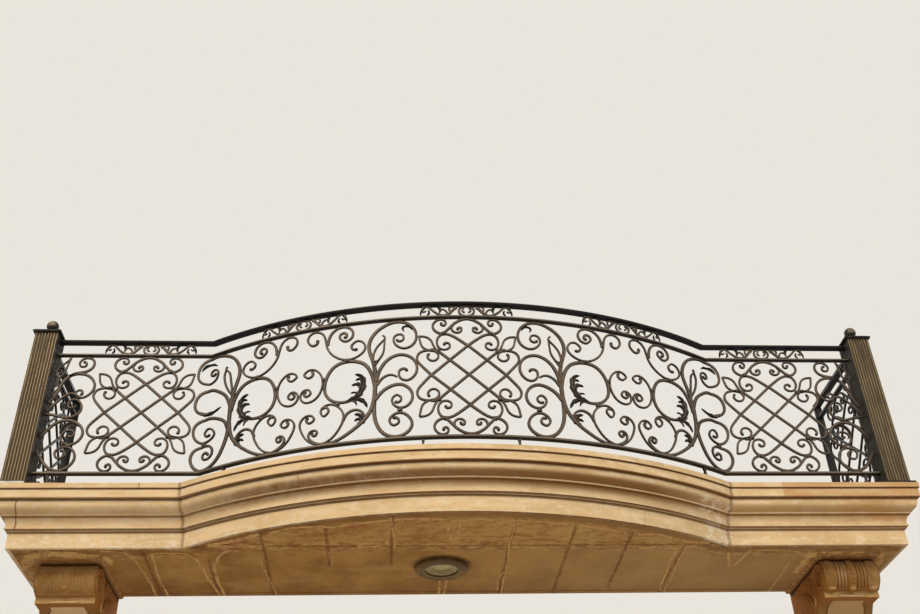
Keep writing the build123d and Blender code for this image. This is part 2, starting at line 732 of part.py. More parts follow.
def straight_side():
    """The pieces of the right straight bay and its side return, by their plain names."""
    lattice = fit_field(lattice_drawing(), 0.0, straight_stretch)
    post_scrolls = fit_field(
        post_tree_drawing(), drawn_post_face, straight_stretch, right=-seat_clearance
    )
    base_edge = post_base_height / 3
    cap_edge = post_cap_height / 2
    cap_low = slab_top + post_height
    return {
        "corbel": corbel(),
        "post_base": post_plate(post_base_size, slab_top, post_base_height, base_edge),
        "post_shaft": post_shaft(),
        "post_cap": post_plate(post_cap_size, cap_low, post_cap_height, cap_edge),
        "post_ball": post_ball(),
        "side_rails": side_rails(),
        "side_lattice": side_lattice(),
        "lattice": forge(lattice, lattice_centre_u),
        "post_scrolls": forge(post_scrolls, post_face_u),
        "frieze": forge(fit_frieze(frieze_drawing(), straight_stretch), lattice_centre_u),
    }


def bow_side():
    """The pieces of the right half of the bow, by their plain names."""
    centre_scrolls = fit_field(centre_tree_drawing(), drawn_centre_stem, bow_stretch)
    frieze = fit_frieze(frieze_drawing(), bow_stretch)
    return {
        "centre_scrolls": forge(centre_scrolls, centre_stem_u),
        "bow_scrolls": bow_bay(),
        "kink_scrolls": kink_tree(),
        "frieze_bow": forge(frieze, bay_centre_u, out=bow_frieze_out),
    }


def build():
    """Every sub-part by its node name."""
    lattice = fit_field(lattice_drawing(), 0.0, bow_stretch)
    frieze = fit_frieze(frieze_drawing(), bow_stretch)
    parts = {
        "floor_slab": floor_slab(),
        "cornice_bow": cornice_bow(),
        "cornice_right": cornice_side(stone_bow_x),
        "cornice_left": mirrored(cornice_side(-stone_bow_x)),
        "soffit_lamp_ring": soffit_lamp_ring(),
        "soffit_lamp_glass": soffit_lamp_glass(),
        "lattice_centre": forge(lattice, 0.0, out=middle_out),
        "frieze_centre": forge(frieze, 0.0, out=middle_out),
    }
    rails = {
        "handrail": (handrail_width, handrail_height, handrail_centre_v),
        "upper_rail": (upper_rail_width, upper_rail_height, upper_rail_centre_v),
        "bottom_rail": (bottom_rail_width, bottom_rail_height, bottom_rail_centre_v),
    }
    one_side = {**straight_side(), **bow_side()}
    for name, size in rails.items():
        parts[name + "_bow"] = bow_rail(*size)
        one_side[name] = straight_rail(*size)
    for u in (centre_stem_u / 2, kink_stem_u):
        parts["bottom_rail_bow"] = parts["bottom_rail_bow"] + foot(u) + mirrored(foot(u))
    one_side["bottom_rail"] = one_side["bottom_rail"] + foot(post_face_u - foot_from_post)
    for name, shape in one_side.items():
        parts[name + "_right"] = shape
        parts[name + "_left"] = mirrored(shape)
    return parts


os.makedirs("parts", exist_ok=True)
for node, shape in build().items():
    export_step(shape, "parts/" + node + ".step")
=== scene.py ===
"""Dress the bow-fronted iron balcony: forged scroll work, posts, stone, lamp, studio and camera."""

from __future__ import annotations

import json
import logging
import math
from dataclasses import dataclass, field, replace
from enum import Enum
from functools import reduce

import bpy
import numpy as np
from mathutils import Euler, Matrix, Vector

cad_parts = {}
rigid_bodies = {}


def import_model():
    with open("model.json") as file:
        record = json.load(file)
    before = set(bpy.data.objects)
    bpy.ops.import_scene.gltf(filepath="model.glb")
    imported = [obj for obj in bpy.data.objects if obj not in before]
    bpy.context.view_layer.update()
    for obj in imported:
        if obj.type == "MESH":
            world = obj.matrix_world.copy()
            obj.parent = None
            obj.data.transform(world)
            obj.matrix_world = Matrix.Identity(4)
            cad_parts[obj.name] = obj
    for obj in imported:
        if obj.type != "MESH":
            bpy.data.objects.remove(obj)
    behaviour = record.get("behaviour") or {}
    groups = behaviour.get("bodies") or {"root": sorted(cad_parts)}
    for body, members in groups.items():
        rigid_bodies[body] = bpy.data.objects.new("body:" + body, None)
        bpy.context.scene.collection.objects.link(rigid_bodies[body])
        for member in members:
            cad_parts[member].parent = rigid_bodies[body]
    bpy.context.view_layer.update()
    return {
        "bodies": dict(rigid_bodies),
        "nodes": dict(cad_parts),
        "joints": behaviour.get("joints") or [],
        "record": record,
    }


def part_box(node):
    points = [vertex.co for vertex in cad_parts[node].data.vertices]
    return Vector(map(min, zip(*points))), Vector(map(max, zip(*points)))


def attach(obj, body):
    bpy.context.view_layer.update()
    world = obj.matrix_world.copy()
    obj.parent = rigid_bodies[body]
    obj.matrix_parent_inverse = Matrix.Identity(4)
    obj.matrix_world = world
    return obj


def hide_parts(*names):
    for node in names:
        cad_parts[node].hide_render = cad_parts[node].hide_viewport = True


log = logging.getLogger("balcony")

MM = 0.001
BODY = "root"
Colour = tuple[float, float, float, float]
Point = tuple[float, float]
Triple = tuple[float, float, float]


def tone(red: int, green: int, blue: int) -> Colour:
    """Turn a screen colour into the linear colour that a shader takes.

    Args:
        red: Red from 0 to 255.
        green: Green from 0 to 255.
        blue: Blue from 0 to 255.

    Returns:
        The linear colour with full alpha.
    """
    def linear(level: int) -> float:
        """Undo the screen curve of one channel."""
        share = level / 255
        return share / 12.92 if share <= 0.04045 else ((share + 0.055) / 1.055) ** 2.4

    return (linear(red), linear(green), linear(blue), 1.0)


class Wire:
    """One output socket of a node tree, with arithmetic that adds Math nodes."""

    def __init__(self, tree: Tree, socket: bpy.types.NodeSocket) -> None:
        """Keep the tree and the socket."""
        self.tree = tree
        self.socket = socket

    def _math(self, operation: str, first: Wire | float, second: Wire | float) -> Wire:
        """Add one Math node."""
        return self.tree.add("ShaderNodeMath", {"operation": operation}, {0: first, 1: second})

    def __add__(self, other: Wire | float) -> Wire:
        """Sum."""
        return self._math("ADD", self, other)

    def __radd__(self, other: float) -> Wire:
        """Reflected sum."""
        return self._math("ADD", other, self)

    def __sub__(self, other: Wire | float) -> Wire:
        """Difference."""
        return self._math("SUBTRACT", self, other)

    def __rsub__(self, other: float) -> Wire:
        """Reflected difference."""
        return self._math("SUBTRACT", other, self)

    def __mul__(self, other: Wire | float) -> Wire:
        """Product."""
        return self._math("MULTIPLY", self, other)

    def __rmul__(self, other: float) -> Wire:
        """Reflected product."""
        return self._math("MULTIPLY", other, self)

    def size(self) -> Wire:
        """Absolute value."""
        return self._math("ABSOLUTE", self, 0.0)

    def least(self, other: Wire | float) -> Wire:
        """The smaller of two values."""
        return self._math("MINIMUM", self, other)

    def most(self, other: Wire | float) -> Wire:
        """The larger of two values."""
        return self._math("MAXIMUM", self, other)

    def angle(self, other: Wire) -> Wire:
        """Angle whose tangent is this value over the other."""
        return self._math("ARCTAN2", self, other)

    def diagonal(self, other: Wire) -> Wire:
        """Length of the diagonal over two sides."""
        return self._math("SQRT", self * self + other * other, 0.0)

    def within(self, low: float, high: float, soft: float) -> Wire:
        """1 between two values, with soft ends, and 0 outside them."""
        return self.band(low - soft, low) * self.band(high + soft, high)

    def nearest(self, pitch: float) -> Wire:
        """Distance to the nearest whole multiple of a pitch."""
        return self._math("PINGPONG", self, pitch / 2)

    def band(self, low: float, high: float) -> Wire:
        """Smooth step from 0 to 1, which falls where high is below low.

        Args:
            low: Value at which it reaches 0.
            high: Value at which it reaches 1.

        Returns:
            The step.
        """
        ends = {1: min(low, high), 2: max(low, high)}
        step = self.tree.add(
            "ShaderNodeMapRange", {"interpolation_type": "SMOOTHSTEP"}, {0: self, **ends}
        )
        return step if high > low else 1 - step


class Tree:
    """A node tree that is built through a single method."""

    def __init__(self, node_tree: bpy.types.NodeTree) -> None:
        """Empty the tree."""
        self.nodes = node_tree.nodes
        self.links = node_tree.links
        self.nodes.clear()

    def add(
        self, kind: str, settings: dict | None = None, sockets: dict | None = None, out: int = 0
    ) -> Wire:
        """Add a node, make its settings, then fill its sockets.

        Args:
            kind: The node's type name.
            settings: Attributes that are set before the sockets.
            sockets: Input names or numbers, each with a constant or a Wire.
            out: Number of the output to hand on.

        Returns:
            The chosen output as a Wire.
        """
        node = self.nodes.new(kind)
        for key, value in (settings or {}).items():
            setattr(node, key, value)
        for key, value in (sockets or {}).items():
            if isinstance(value, Wire):
                self.links.new(value.socket, node.inputs[key])
            else:
                node.inputs[key].default_value = value
        return Wire(self, node.outputs[out] if len(node.outputs) else None)

    def parts(self, vector: Wire) -> tuple[Wire, ...]:
        """The three parts of a vector."""
        kind = "ShaderNodeSeparateXYZ"
        return tuple(self.add(kind, {}, {0: vector}, out=axis) for axis in range(3))

    def place(self) -> tuple[Wire, ...]:
        """Object position, whole and as its three parts."""
        spot = self.add("ShaderNodeTexCoord", out=3)
        return (spot, *self.parts(spot))

    def facing(self) -> tuple[Wire, ...]:
        """The three parts of the surface's own direction."""
        return self.parts(self.add("ShaderNodeNewGeometry", out=1))

    def seen(self) -> Wire:
        """1 for camera, glossy and transmission rays."""
        rays = [self.add("ShaderNodeLightPath", out=ray) for ray in (0, 3, 6)]
        return reduce(Wire.most, rays)

    def stretched(self, spot: Wire, scale: Triple) -> Wire:
        """A position scaled along each axis."""
        return self.add("ShaderNodeVectorMath", {"operation": "MULTIPLY"}, {0: spot, 1: scale})

    def noise(self, spot: Wire, scale: float, detail: float = 4.0, rough: float = 0.55) -> Wire:
        """Value noise at a position."""
        sockets = {"Vector": spot, "Scale": scale, "Detail": detail, "Roughness": rough}
        return self.add("ShaderNodeTexNoise", {}, sockets)

    def layered(self, colour: Wire | Colour, *layers: tuple[Wire, Wire | Colour]) -> Wire:
        """Lay colours over one another.

        Args:
            colour: The colour at the bottom.
            layers: Share and colour of each layer, from the bottom up.

        Returns:
            The mixed colour.
        """
        kind = {"data_type": "RGBA"}
        for share, over in layers:
            colour = self.add("ShaderNodeMix", kind, {0: share, 6: colour, 7: over}, out=2)
        return colour

    def bump(self, height: Wire, distance: float, strength: float) -> Wire:
        """Normal raised by a height."""
        sockets = {"Strength": strength, "Distance": distance, "Height": height}
        return self.add("ShaderNodeBump", {}, sockets)


class MaterialTree(Tree):
    """The node tree of one material."""

    def __init__(self, name: str) -> None:
        """Make an empty material."""
        self.material = bpy.data.materials.new(name)
        self.material.use_nodes = True
        super().__init__(self.material.node_tree)

    def finish(self, colour: Wire, rough: Wire, normal: Wire, shine: float = 0.1,
               more: dict | None = None) -> bpy.types.Material:
        """Close the tree with a Principled shader.

        Args:
            colour: Base colour.
            rough: Roughness.
            normal: Normal.
            shine: Specular level.
            more: Further inputs of the shader.

        Returns:
            The finished material.
        """
        sockets = {"Base Color": colour, "Roughness": rough, "Normal": normal}
        sockets["Specular IOR Level"] = shine
        shader = self.add("ShaderNodeBsdfPrincipled", {}, {**sockets, **(more or {})})
        self.add("ShaderNodeOutputMaterial", {}, {0: shader})
        return self.material


@dataclass(frozen=True)
class ForgedIron:
    """Black painted bar iron with bronze rubbed on its raised edges; the bronze shows only on faces turned
    to the front or upwards, and undersides stay black as painted shade.
    """

    name: str = "forged_iron"
    black: Colour = tone(18, 14, 10)
    bronze: Colour = tone(94, 78, 60)
    rubbed: float = 0.85
    everywhere: float = 0.0

    def material(self) -> bpy.types.Material:
        """Make the material.

        Returns:
            A material that reads a mesh attribute of per-point shares, which set where bronze is rubbed on
            and where painted shade keeps the iron black.
        """
        tree = MaterialTree(self.name)
        spot, _, _, _ = tree.place()
        _, turned_y, up = tree.facing()
        rub_and_shade = tree.add("ShaderNodeAttribute", {"attribute_name": "rub_and_shade"}, out=2)
        rub_and_shade = rub_and_shade.most(self.everywhere)
        wide = tree.noise(spot, 9.0, 3.0)
        fine = tree.noise(spot, 160.0, 4.0, 0.65)
        worn = (rub_and_shade * (wide * 0.9 + fine * 0.8)).band(0.3, 0.9) * self.rubbed
        # Painted light and shade: the rubbed bronze is kept to faces turned to the front or upwards, and
        # faces turned down stay black.
        seen = (0.0 - turned_y).band(0.6, 0.92) * up.band(-0.55, -0.1)
        worn = worn * (seen + up.band(0.3, 0.8) * 0.7).least(1.0)
        dusty = tree.noise(spot, 38.0, 5.0).band(0.55, 0.8) * 0.12 * up.band(-0.4, 0.1)
        colour = tree.layered(self.black, (worn, self.bronze), (dusty, tone(120, 104, 84)))
        hammered = tree.noise(spot, 70.0, 2.0, 0.4)
        relief = tree.bump(0.7 * hammered + 0.3 * fine, 0.0012, 0.6)
        rough = 0.62 - worn * 0.2 + fine * 0.12
        return tree.finish(colour, rough, relief, 0.22, {"Metallic": worn * 0.3})


@dataclass(frozen=True)
class FlutedIron:
    """Post iron: bronze on the lands, darker down in the flutes, and near-black as painted shade on the
    inner and back faces.
    """

    axis_x: float
    axis_y: float
    half: float
    depth: float
    flute: float = 0.006
    name: str = "fluted_iron"

    def material(self) -> bpy.types.Material:
        """Make the material.

        Returns:
            A material that finds the flutes from the distance to the post's axis.
        """
        tree = MaterialTree(self.name)
        spot, across, into, _ = tree.place()
        sideways = (across.size() - self.axis_x).size()
        onward = (into - self.axis_y).size()
        land = sideways.most(onward)
        land = land.band(self.half - self.depth * 0.4, self.half - self.depth * 0.06)
        streak = tree.noise(tree.stretched(spot, (1.0, 1.0, 0.1)), 60.0, 4.0)
        patch = tree.noise(spot, 6.0, 3.0)
        inner_x = self.axis_x - self.half
        back_y = self.axis_y + self.half
        # Painted shade: the inner and back faces stay near-black and get no bronze.
        inward = across.size().band(inner_x + self.flute, inner_x + self.flute - 0.001)
        behind = into.band(back_y - self.flute, back_y - self.flute + 0.001)
        unshaded = 1 - (inward * 0.9).most(behind * 0.7)
        corner = sideways.least(onward).band(self.half - 0.003, self.half - 0.010)
        land = land * (corner * 0.8 + 0.2)
        worn = land * (streak * 0.7 + patch * 0.6).band(0.34, 0.72) * unshaded
        grime = tree.noise(tree.stretched(spot, (1.0, 1.0, 0.3)), 18.0, 5.0).band(0.52, 0.75)
        colour = tree.layered(
            tone(16, 15, 12),
            (unshaded, tone(72, 62, 46)),
            (worn * 0.9, tone(144, 120, 84)),
            (grime * 0.35, tone(52, 44, 34)),
        )
        fine = tree.noise(spot, 220.0, 3.0)
        rough = 0.62 - worn * 0.16 + fine * 0.1
        relief = tree.bump(fine, 0.0006, 0.5)
        return tree.finish(colour, rough, relief, more={"Metallic": worn * 0.25})


@dataclass(frozen=True)
class Joint:
    """An upright mortar joint across some beds of the moulding, in metres."""

    along: float
    low: float
    high: float
    strength: float = 1.0


@dataclass(frozen=True)
class Limestone:
    """Warm beige limestone with beds, grime and painted shade under its ledges and in its grooves, painted
    light on faces turned up, painted highlight lines on its edges, salt bloom and a few joints.
    """

    name: str
    light: Colour
    dark: Colour
    grooves: tuple[float, ...] = ()
    edges: tuple[float, ...] = ()
    joints: tuple[Joint, ...] = ()
    bow_centre_x: float = 0.0
    bow_centre_y: float = 0.0
    bow_radius: float = 1.0
    bow_half_chord: float = 0.0
    browned_from: float = 99.0
    browned_over: float = 99.0
    bloom_below: float = -99.0
    bloom_until: float = -99.0
    kink_x: float = 1.421
    kink_y: float = -0.66
    mitre_slope: float = 0.2975
    rusty_from: float = 98.0
    # The next two colours go on faces turned down, as grime and painted shade under the ledges.
    grime: Colour = tone(160, 118, 70)
    soot_and_shade: Colour = tone(122, 80, 38)
    bloom: Colour = tone(236, 214, 182)

    def along(self, across: Wire, into: Wire) -> Wire:
        """Length along the front: round the bow, then straight on.

        Args:
            across: Place along X.
            into: Place along Y.

        Returns:
            The length from the bow's middle.
        """
        shifted = across - self.bow_centre_x
        round_bow = shifted.angle(self.bow_centre_y - into) * self.bow_radius
        on_bow = shifted.size().band(self.bow_half_chord + 0.001, self.bow_half_chord)
        return round_bow * on_bow + (1 - on_bow) * across

    def bloomed(self, across: Wire, height: Wire, mottle: Wire, pores: Wire) -> Wire:
        """Where salt blooms on the lower beds.

        Args:
            across: Place along X.
            height: Place along Z.
            mottle: Middling noise.
            pores: Fine noise.

        Returns:
            A mask from 0 to 1.
        """
        mask = (mottle.band(0.5, 0.62) * 0.6 + pores.band(0.5, 0.62) * 0.6).least(1.0)
        mask = mask * height.band(self.bloom_below + 0.01, self.bloom_below)
        mask = mask * across.band(self.bloom_until + 0.5, self.bloom_until - 0.3).most(0.2)
        return mask * (0.4 + height.band(self.bloom_below, self.bloom_below - 0.07) * 0.6)

    def material(self) -> bpy.types.Material:
        """Make the material.

        Returns:
            A material with beds and stains by noise, and joints and dirt by place.
        """
        tree = MaterialTree(self.name)
        spot, across, into, height = tree.place()
        _, _, up = tree.facing()
        bed = tree.noise(tree.stretched(spot, (0.7, 0.7, 6.0)), 5.0, 6.0, 0.62)
        cloud = tree.noise(tree.stretched(spot, (1.0, 1.0, 1.8)), 2.1, 5.0, 0.6)
        grain = tree.noise(spot, 130.0, 5.0, 0.7)
        pores = tree.noise(spot, 34.0, 6.0, 0.75)
        mottle = tree.noise(tree.stretched(spot, (1.0, 1.0, 1.7)), 16.0, 6.0, 0.7)
        from_middle = (across - self.bow_centre_x).size()
        # Grime and painted shade on faces turned down.
        grime_and_shade = (0.0 - up).band(0.02, 0.7) * (cloud * 0.5 + mottle * 0.5 + 0.45).least(0.95)
        left = across.band(0.6, -1.2)
        mitre = from_middle - self.kink_x + (into - self.kink_y) * self.mitre_slope
        crease = mitre.size().band(0.016, 0.003)
        bloomed = self.bloomed(across, height, mottle, pores)
        spilt = across.within(self.kink_x - 0.17, self.kink_x - 0.05, 0.06)
        spilt = spilt * height.band(self.browned_over - 0.01, self.browned_over - 0.06)
        rusty = across.within(self.rusty_from, 2.4, 0.1) * cloud.band(0.42, 0.56)
        rusty = rusty * height.band(self.browned_over + 0.01, self.browned_over - 0.02)
        browned = across.band(self.browned_from, self.browned_from + 0.004)
        browned = browned * height.band(self.browned_over, self.browned_over + 0.002)
        colour = tree.layered(
            self.light,
            (bed.band(0.34, 0.68), self.dark),
            (cloud.band(0.48, 0.7) * 0.5, tone(196, 158, 106)),
            (mottle.band(0.48, 0.62) * 0.4, tone(236, 210, 172)),
            (pores.band(0.56, 0.7) * 0.35, tone(186, 146, 96)),
            (grain.band(0.4, 0.8) * 0.2, tone(196, 154, 106)),
            (grime_and_shade * (0.75 - left * 0.3), self.grime),
            (grime_and_shade * from_middle.band(1.5, 0.9) * 0.95, self.soot_and_shade),
            # Painted light: faces turned up are lighter.
            (up.band(0.3, 0.9) * 0.5, tone(226, 198, 150)),
            (left * mottle.band(0.42, 0.6) * 0.3, tone(196, 174, 138)),
            (crease * (mottle * 0.6 + 0.25), tone(112, 70, 34)),
            (bloomed * 0.6, self.bloom),
            (spilt * mottle.band(0.45, 0.58) * 0.55, self.bloom),
            (rusty * 0.45 * height.band(-0.09, 0.0), tone(176, 116, 54)),
            (browned * (cloud.band(0.3, 0.7) * 0.35 + 0.35), tone(176, 122, 66)),
        )
        if self.grooves:
            # Grime and painted shade along the grooves.
            dirt_and_shade = reduce(Wire.most, [(height - g).size().band(0.0085, 0.002) for g in self.grooves])
            colour = tree.layered(colour, (dirt_and_shade * (0.45 + pores * 0.4), tone(104, 62, 20)))
        for edge in self.edges:
            lit = (height - edge).size().band(0.004, 0.001)
            colour = tree.layered(colour, (lit * 0.5, tone(226, 192, 142)))
        relief = 0.25 * grain + 0.5 * bed + 0.25 * mottle + 0.5 * bloomed
        relief = relief - pores.band(0.62, 0.7) * 0.4
        if self.joints:
            run = self.along(across, into) + (mottle - 0.5) * 0.006
            for joint in self.joints:
                cut = (run - joint.along).size().band(0.005, 0.0012)
                cut = cut * height.within(joint.low, joint.high, 0.002) * joint.strength
                colour = tree.layered(colour, (cut * 0.75, tone(112, 70, 36)))
                relief = relief - cut * 1.4
        return tree.finish(colour, 0.84 + grain * 0.12, tree.bump(relief, 0.0035, 0.7))


@dataclass(frozen=True)
class ConsoleStone:
    """Stone of the consoles in a brown that is partly stain and partly painted shade, with painted shade
    in its carving and under its cap, a painted shadow line round its panel, and painted light and shade on
    faces turned up and down.
    """

    centre_x: float
    cap_low: float
    panel_top: float
    half_panel: float
    corner: float
    roll_low: float
    reed_pitch: float
    name: str = "console_stone"

    def material(self) -> bpy.types.Material:
        """Make the material.

        Returns:
            A material that finds the panel, the roll and the cap by place.
        """
        tree = MaterialTree(self.name)
        spot, across, _, height = tree.place()
        _, outward, up = tree.facing()
        cloud = tree.noise(spot, 5.0, 5.0, 0.62)
        streak = tree.noise(tree.stretched(spot, (1.0, 1.0, 0.35)), 14.0, 6.0, 0.65)
        grain = tree.noise(spot, 140.0, 5.0, 0.7)
        rough = tree.noise(spot, 30.0, 6.0, 0.72)
        side_on = 1 - outward.size().band(0.4, 0.8)
        front_on = (0.0 - outward).band(0.4, 0.8)
        from_middle = (across.size() - self.centre_x).size()
        beside = from_middle - (self.half_panel - self.corner)
        above = height - (self.panel_top - self.corner)
        round_off = beside.most(0.0).diagonal(above.most(0.0))
        # Painted shadow line round the raised panel.
        rim = round_off.within(self.corner - 0.012, self.corner + 0.006, 0.004) * front_on
        rim = rim * height.band(self.roll_low - 0.042, self.roll_low - 0.046)
        ledge = height.within(self.roll_low - 0.036, self.roll_low, 0.004) * front_on
        cap = height.band(self.cap_low - 0.001, self.cap_low + 0.001)
        torn = height - self.cap_low + 0.006 + (rough - 0.5) * 0.05
        shade = torn.size().band(0.02, 0.004) * (1 - cap) * (1 - up.size() * 0.6)
        reed = (from_middle + self.reed_pitch / 2).nearest(self.reed_pitch)
        reeded = from_middle.within(self.reed_pitch, self.reed_pitch * 4.8, 0.002)
        on_roll = height.within(self.roll_low, self.cap_low - 0.02, 0.01) * front_on
        # Painted shade in the grooves between the reeds.
        cut = reed.band(self.reed_pitch * 0.2, 0.001) * on_roll * reeded
        colour = tree.layered(
            # Base brown: partly the stone's own stain and partly painted shade.
            tone(168, 122, 68),
            (cloud.band(0.34, 0.66), tone(138, 94, 46)),
            (streak.band(0.48, 0.72) * 0.6, tone(188, 148, 98)),
            (rough.band(0.52, 0.72) * 0.45, tone(104, 66, 30)),
            (side_on * 0.6, tone(160, 92, 28)),
            # Painted shade on faces turned down and painted light on faces turned up.
            ((0.0 - up).band(0.1, 0.8) * 0.45, tone(116, 78, 40)),
            (up.band(0.2, 0.8) * 0.5, tone(196, 158, 108)),
            (ledge * (0.5 + streak * 0.5), tone(204, 160, 100)),
            (rim * 0.7, tone(92, 58, 28)),
            (cap * 0.4, tone(160, 116, 66)),
            (cap * rough.band(0.46, 0.6) * 0.5, tone(200, 158, 106)),
            (shade * 0.85, tone(46, 26, 12)),
            (cut * (0.15 + across.band(-1.0, 1.0) * 0.6), tone(64, 38, 18)),
        )
        relief = 0.2 * grain + 0.7 * rough + 0.4 * streak
        return tree.finish(colour, 0.86 + grain * 0.1, tree.bump(relief, 0.004, 0.7))


@dataclass(frozen=True)
class SoffitStone:
    """The slab: paving above, and below it panels in a brown that is partly stain and partly painted
    shade, with a few dark seams and a painted shadow in front of the lamp.
    """

    top: float
    bottom: float
    line_y: float
    bow_centre_x: float
    bow_centre_y: float
    bow_radius: float
    seams_into: tuple[Triple, ...]
    seams_across: tuple[Triple, ...]
    lamp_x: float
    lamp_y: float
    bed_y: float = -0.69
    border: float = 0.09
    paver: float = 0.45
    name: str = "soffit_stone"

    def material(self) -> bpy.types.Material:
        """Make the material.

        Returns:
            A material whose look is split by height between paving and underside.
        """
        tree = MaterialTree(self.name)
        spot, across, into, height = tree.place()
        wobble = (tree.noise(spot, 9.0, 4.0) - 0.5) * 0.016
        ragged = tree.noise(spot, 20.0, 6.0, 0.72)
        grain = tree.noise(spot, 120.0, 5.0, 0.7)
        cloud = tree.noise(tree.stretched(spot, (1.0, 0.7, 1.0)), 2.8, 6.0, 0.62)
        drift = tree.noise(tree.stretched(spot, (0.5, 1.4, 1.0)), 6.0, 5.0, 0.6)
        crumpled = tree.noise(tree.stretched(spot, (1.0, 1.5, 1.0)), 17.0, 7.0, 0.76)
        radius = (across - self.bow_centre_x).diagonal(self.bow_centre_y - into)
        inside = 0.0 - (radius - self.bow_radius).least(self.line_y - into)
        rim = (inside + wobble * 2.0).within(-0.2, self.border, 0.03)
        front = into.band(self.bed_y + 0.02, self.bed_y - 0.03) * inside.band(0.06, 0.1)
        near_bed = (into - self.bed_y + wobble).size().band(0.1, 0.015)
        rusty = front.most(near_bed * 0.8) * drift.band(0.5, 0.62)
        fretted = near_bed.most(front * 0.6).most(inside.within(self.border, 0.14, 0.03) * 0.7)
        from_lamp = (across - self.lamp_x).diagonal(into - self.lamp_y)
        # Painted shadow on the front side of the lamp's ring.
        lamp_shadow = from_lamp.band(0.185, 0.15) * into.band(self.lamp_y + 0.05, self.lamp_y - 0.08)
        seam = reduce(Wire.most, [
            (place + wobble - at).size().band(0.014, 0.002) * along.within(start, end, 0.04)
            for place, along, seams in (
                (across, into, self.seams_into), (into, across, self.seams_across)
            )
            for at, start, end in seams
        ])
        under = tree.layered(
            # Base brown of the underside: partly stain and partly painted shade.
            tone(166, 118, 60),
            (cloud.band(0.36, 0.64), tone(134, 90, 42)),
            (drift.band(0.5, 0.72) * 0.6, tone(168, 128, 78)),
            (ragged.band(0.5, 0.72) * 0.4, tone(112, 70, 34)),
            (across.band(-0.8, 1.5) * 0.6, tone(166, 130, 80)),
            ((0.0 - into).band(0.25, 0.02) * 0.25, tone(104, 66, 32)),
            (rim * 0.45, tone(106, 68, 34)),
            (front * (cloud * 0.6 + 0.2), tone(182, 136, 74)),
            (rusty * 0.6, tone(142, 82, 38)),
            (fretted * crumpled.band(0.51, 0.58) * 0.6, tone(192, 148, 90)),
            (fretted * crumpled.band(0.47, 0.41) * 0.65, tone(116, 62, 26)),
            (lamp_shadow * 0.7, tone(66, 44, 20)),
            (seam * (ragged.band(0.3, 0.6) * 0.5 + 0.25), tone(104, 58, 24)),
        )
        tiles = across.nearest(self.paver).least((into + 0.2).nearest(self.paver))
        tiles = tiles.band(0.004, 0.0015)
        above = tree.layered(
            tone(206, 178, 138),
            (cloud.band(0.3, 0.7), tone(182, 152, 112)),
            (tiles * 0.7, tone(120, 96, 70)),
        )
        up = height.band(self.bottom + 0.002, self.bottom + 0.02)
        relief = 0.25 * grain + 0.6 * ragged - seam * (1 - up) * 0.8 - tiles * up
        relief = relief + fretted * (1 - up) * crumpled * 2.5
        colour = tree.layered(under, (up, above))
        return tree.finish(colour, 0.86 + grain * 0.1, tree.bump(relief, 0.003, 0.7))


@dataclass(frozen=True)
class SaltCrust:
    """Pale lime crust that seeps out along the joints of the underside, or old mortar."""

    name: str = "salt_crust"
    dull: Colour = tone(150, 104, 52)
    pale: Colour = tone(190, 142, 82)
    dust: Colour = tone(212, 180, 136)

    def material(self) -> bpy.types.Material:
        """Make the material.

        Returns:
            A material that is pale and dull in patches.
        """
        tree = MaterialTree(self.name)
        spot, _, _, _ = tree.place()
        broken = tree.noise(spot, 22.0, 6.0, 0.75)
        fine = tree.noise(spot, 150.0, 5.0, 0.7)
        colour = tree.layered(
            self.dull, (broken.band(0.36, 0.56), self.pale), (fine.band(0.5, 0.75) * 0.3, self.dust)
        )
        relief = tree.bump(fine * 0.5 + broken, 0.002, 0.8)
        return tree.finish(colour, 0.85 + fine * 0.1, relief, 0.2)


@dataclass(frozen=True)
class LampMetal:
    """Olive-brown lacquered metal of the lamp's ring, turned in fine steps at its mouth."""

    centre_x: float
    centre_y: float
    mouth: float = 0.088
    pitch: float = 0.0075
    name: str = "lamp_metal"

    def material(self) -> bpy.types.Material:
        """Make the material.

        Returns:
            A material that finds the mouth by its distance from the lamp's middle.
        """
        tree = MaterialTree(self.name)
        spot, across, into, _ = tree.place()
        mottled = tree.noise(spot, 30.0, 4.0)
        radius = (across - self.centre_x).diagonal(into - self.centre_y)
        lip = radius.within(self.mouth - 0.002, self.mouth + 0.014, 0.001)
        turned = (radius - self.mouth).nearest(self.pitch).band(0.0008, 0.0024)
        colour = tree.layered(
            tone(92, 64, 30),
            (mottled.band(0.35, 0.7), tone(122, 90, 46)),
            (lip * turned * 0.7, tone(132, 106, 64)),
            (lip * (1 - turned) * 0.6, tone(58, 42, 20)),
            ((into - self.centre_y).band(0.02, -0.12) * 0.5, tone(62, 44, 20)),
        )
        relief = tree.bump(mottled + turned * lip, 0.0012, 0.5)
        return tree.finish(colour, 0.5 + mottled * 0.2, relief, 0.12)


@dataclass(frozen=True)
class RibbedGlass:
    """Dusty pressed glass of the lamp's bowl, with painted shade lines between its rings."""

    centre_x: float
    centre_y: float
    middle: float = 0.052
    pitch: float = 0.0089
    name: str = "ribbed_glass"

    def material(self) -> bpy.types.Material:
        """Make the material.

        Returns:
            A material that finds the rings by their distance from the lamp's middle.
        """
        tree = MaterialTree(self.name)
        spot, across, into, _ = tree.place()
        dust = tree.noise(spot, 26.0, 5.0)
        radius = (across - self.centre_x).diagonal(into - self.centre_y)
        # Painted shade lines between the rings.
        between = (radius - self.middle).nearest(self.pitch).band(0.0026, 0.0008)
        between = between * radius.band(self.middle - 0.002, self.middle)
        colour = tree.layered(
            tone(176, 152, 96),
            (dust.band(0.35, 0.75), tone(146, 118, 66)),
            (between * 0.65, tone(66, 46, 22)),
        )
        relief = tree.bump(dust, 0.0004, 0.4)
        clear = {"Transmission Weight": 0.1, "IOR": 1.5}
        return tree.finish(colour, 0.24 + dust * 0.3, relief, 0.25, clear)


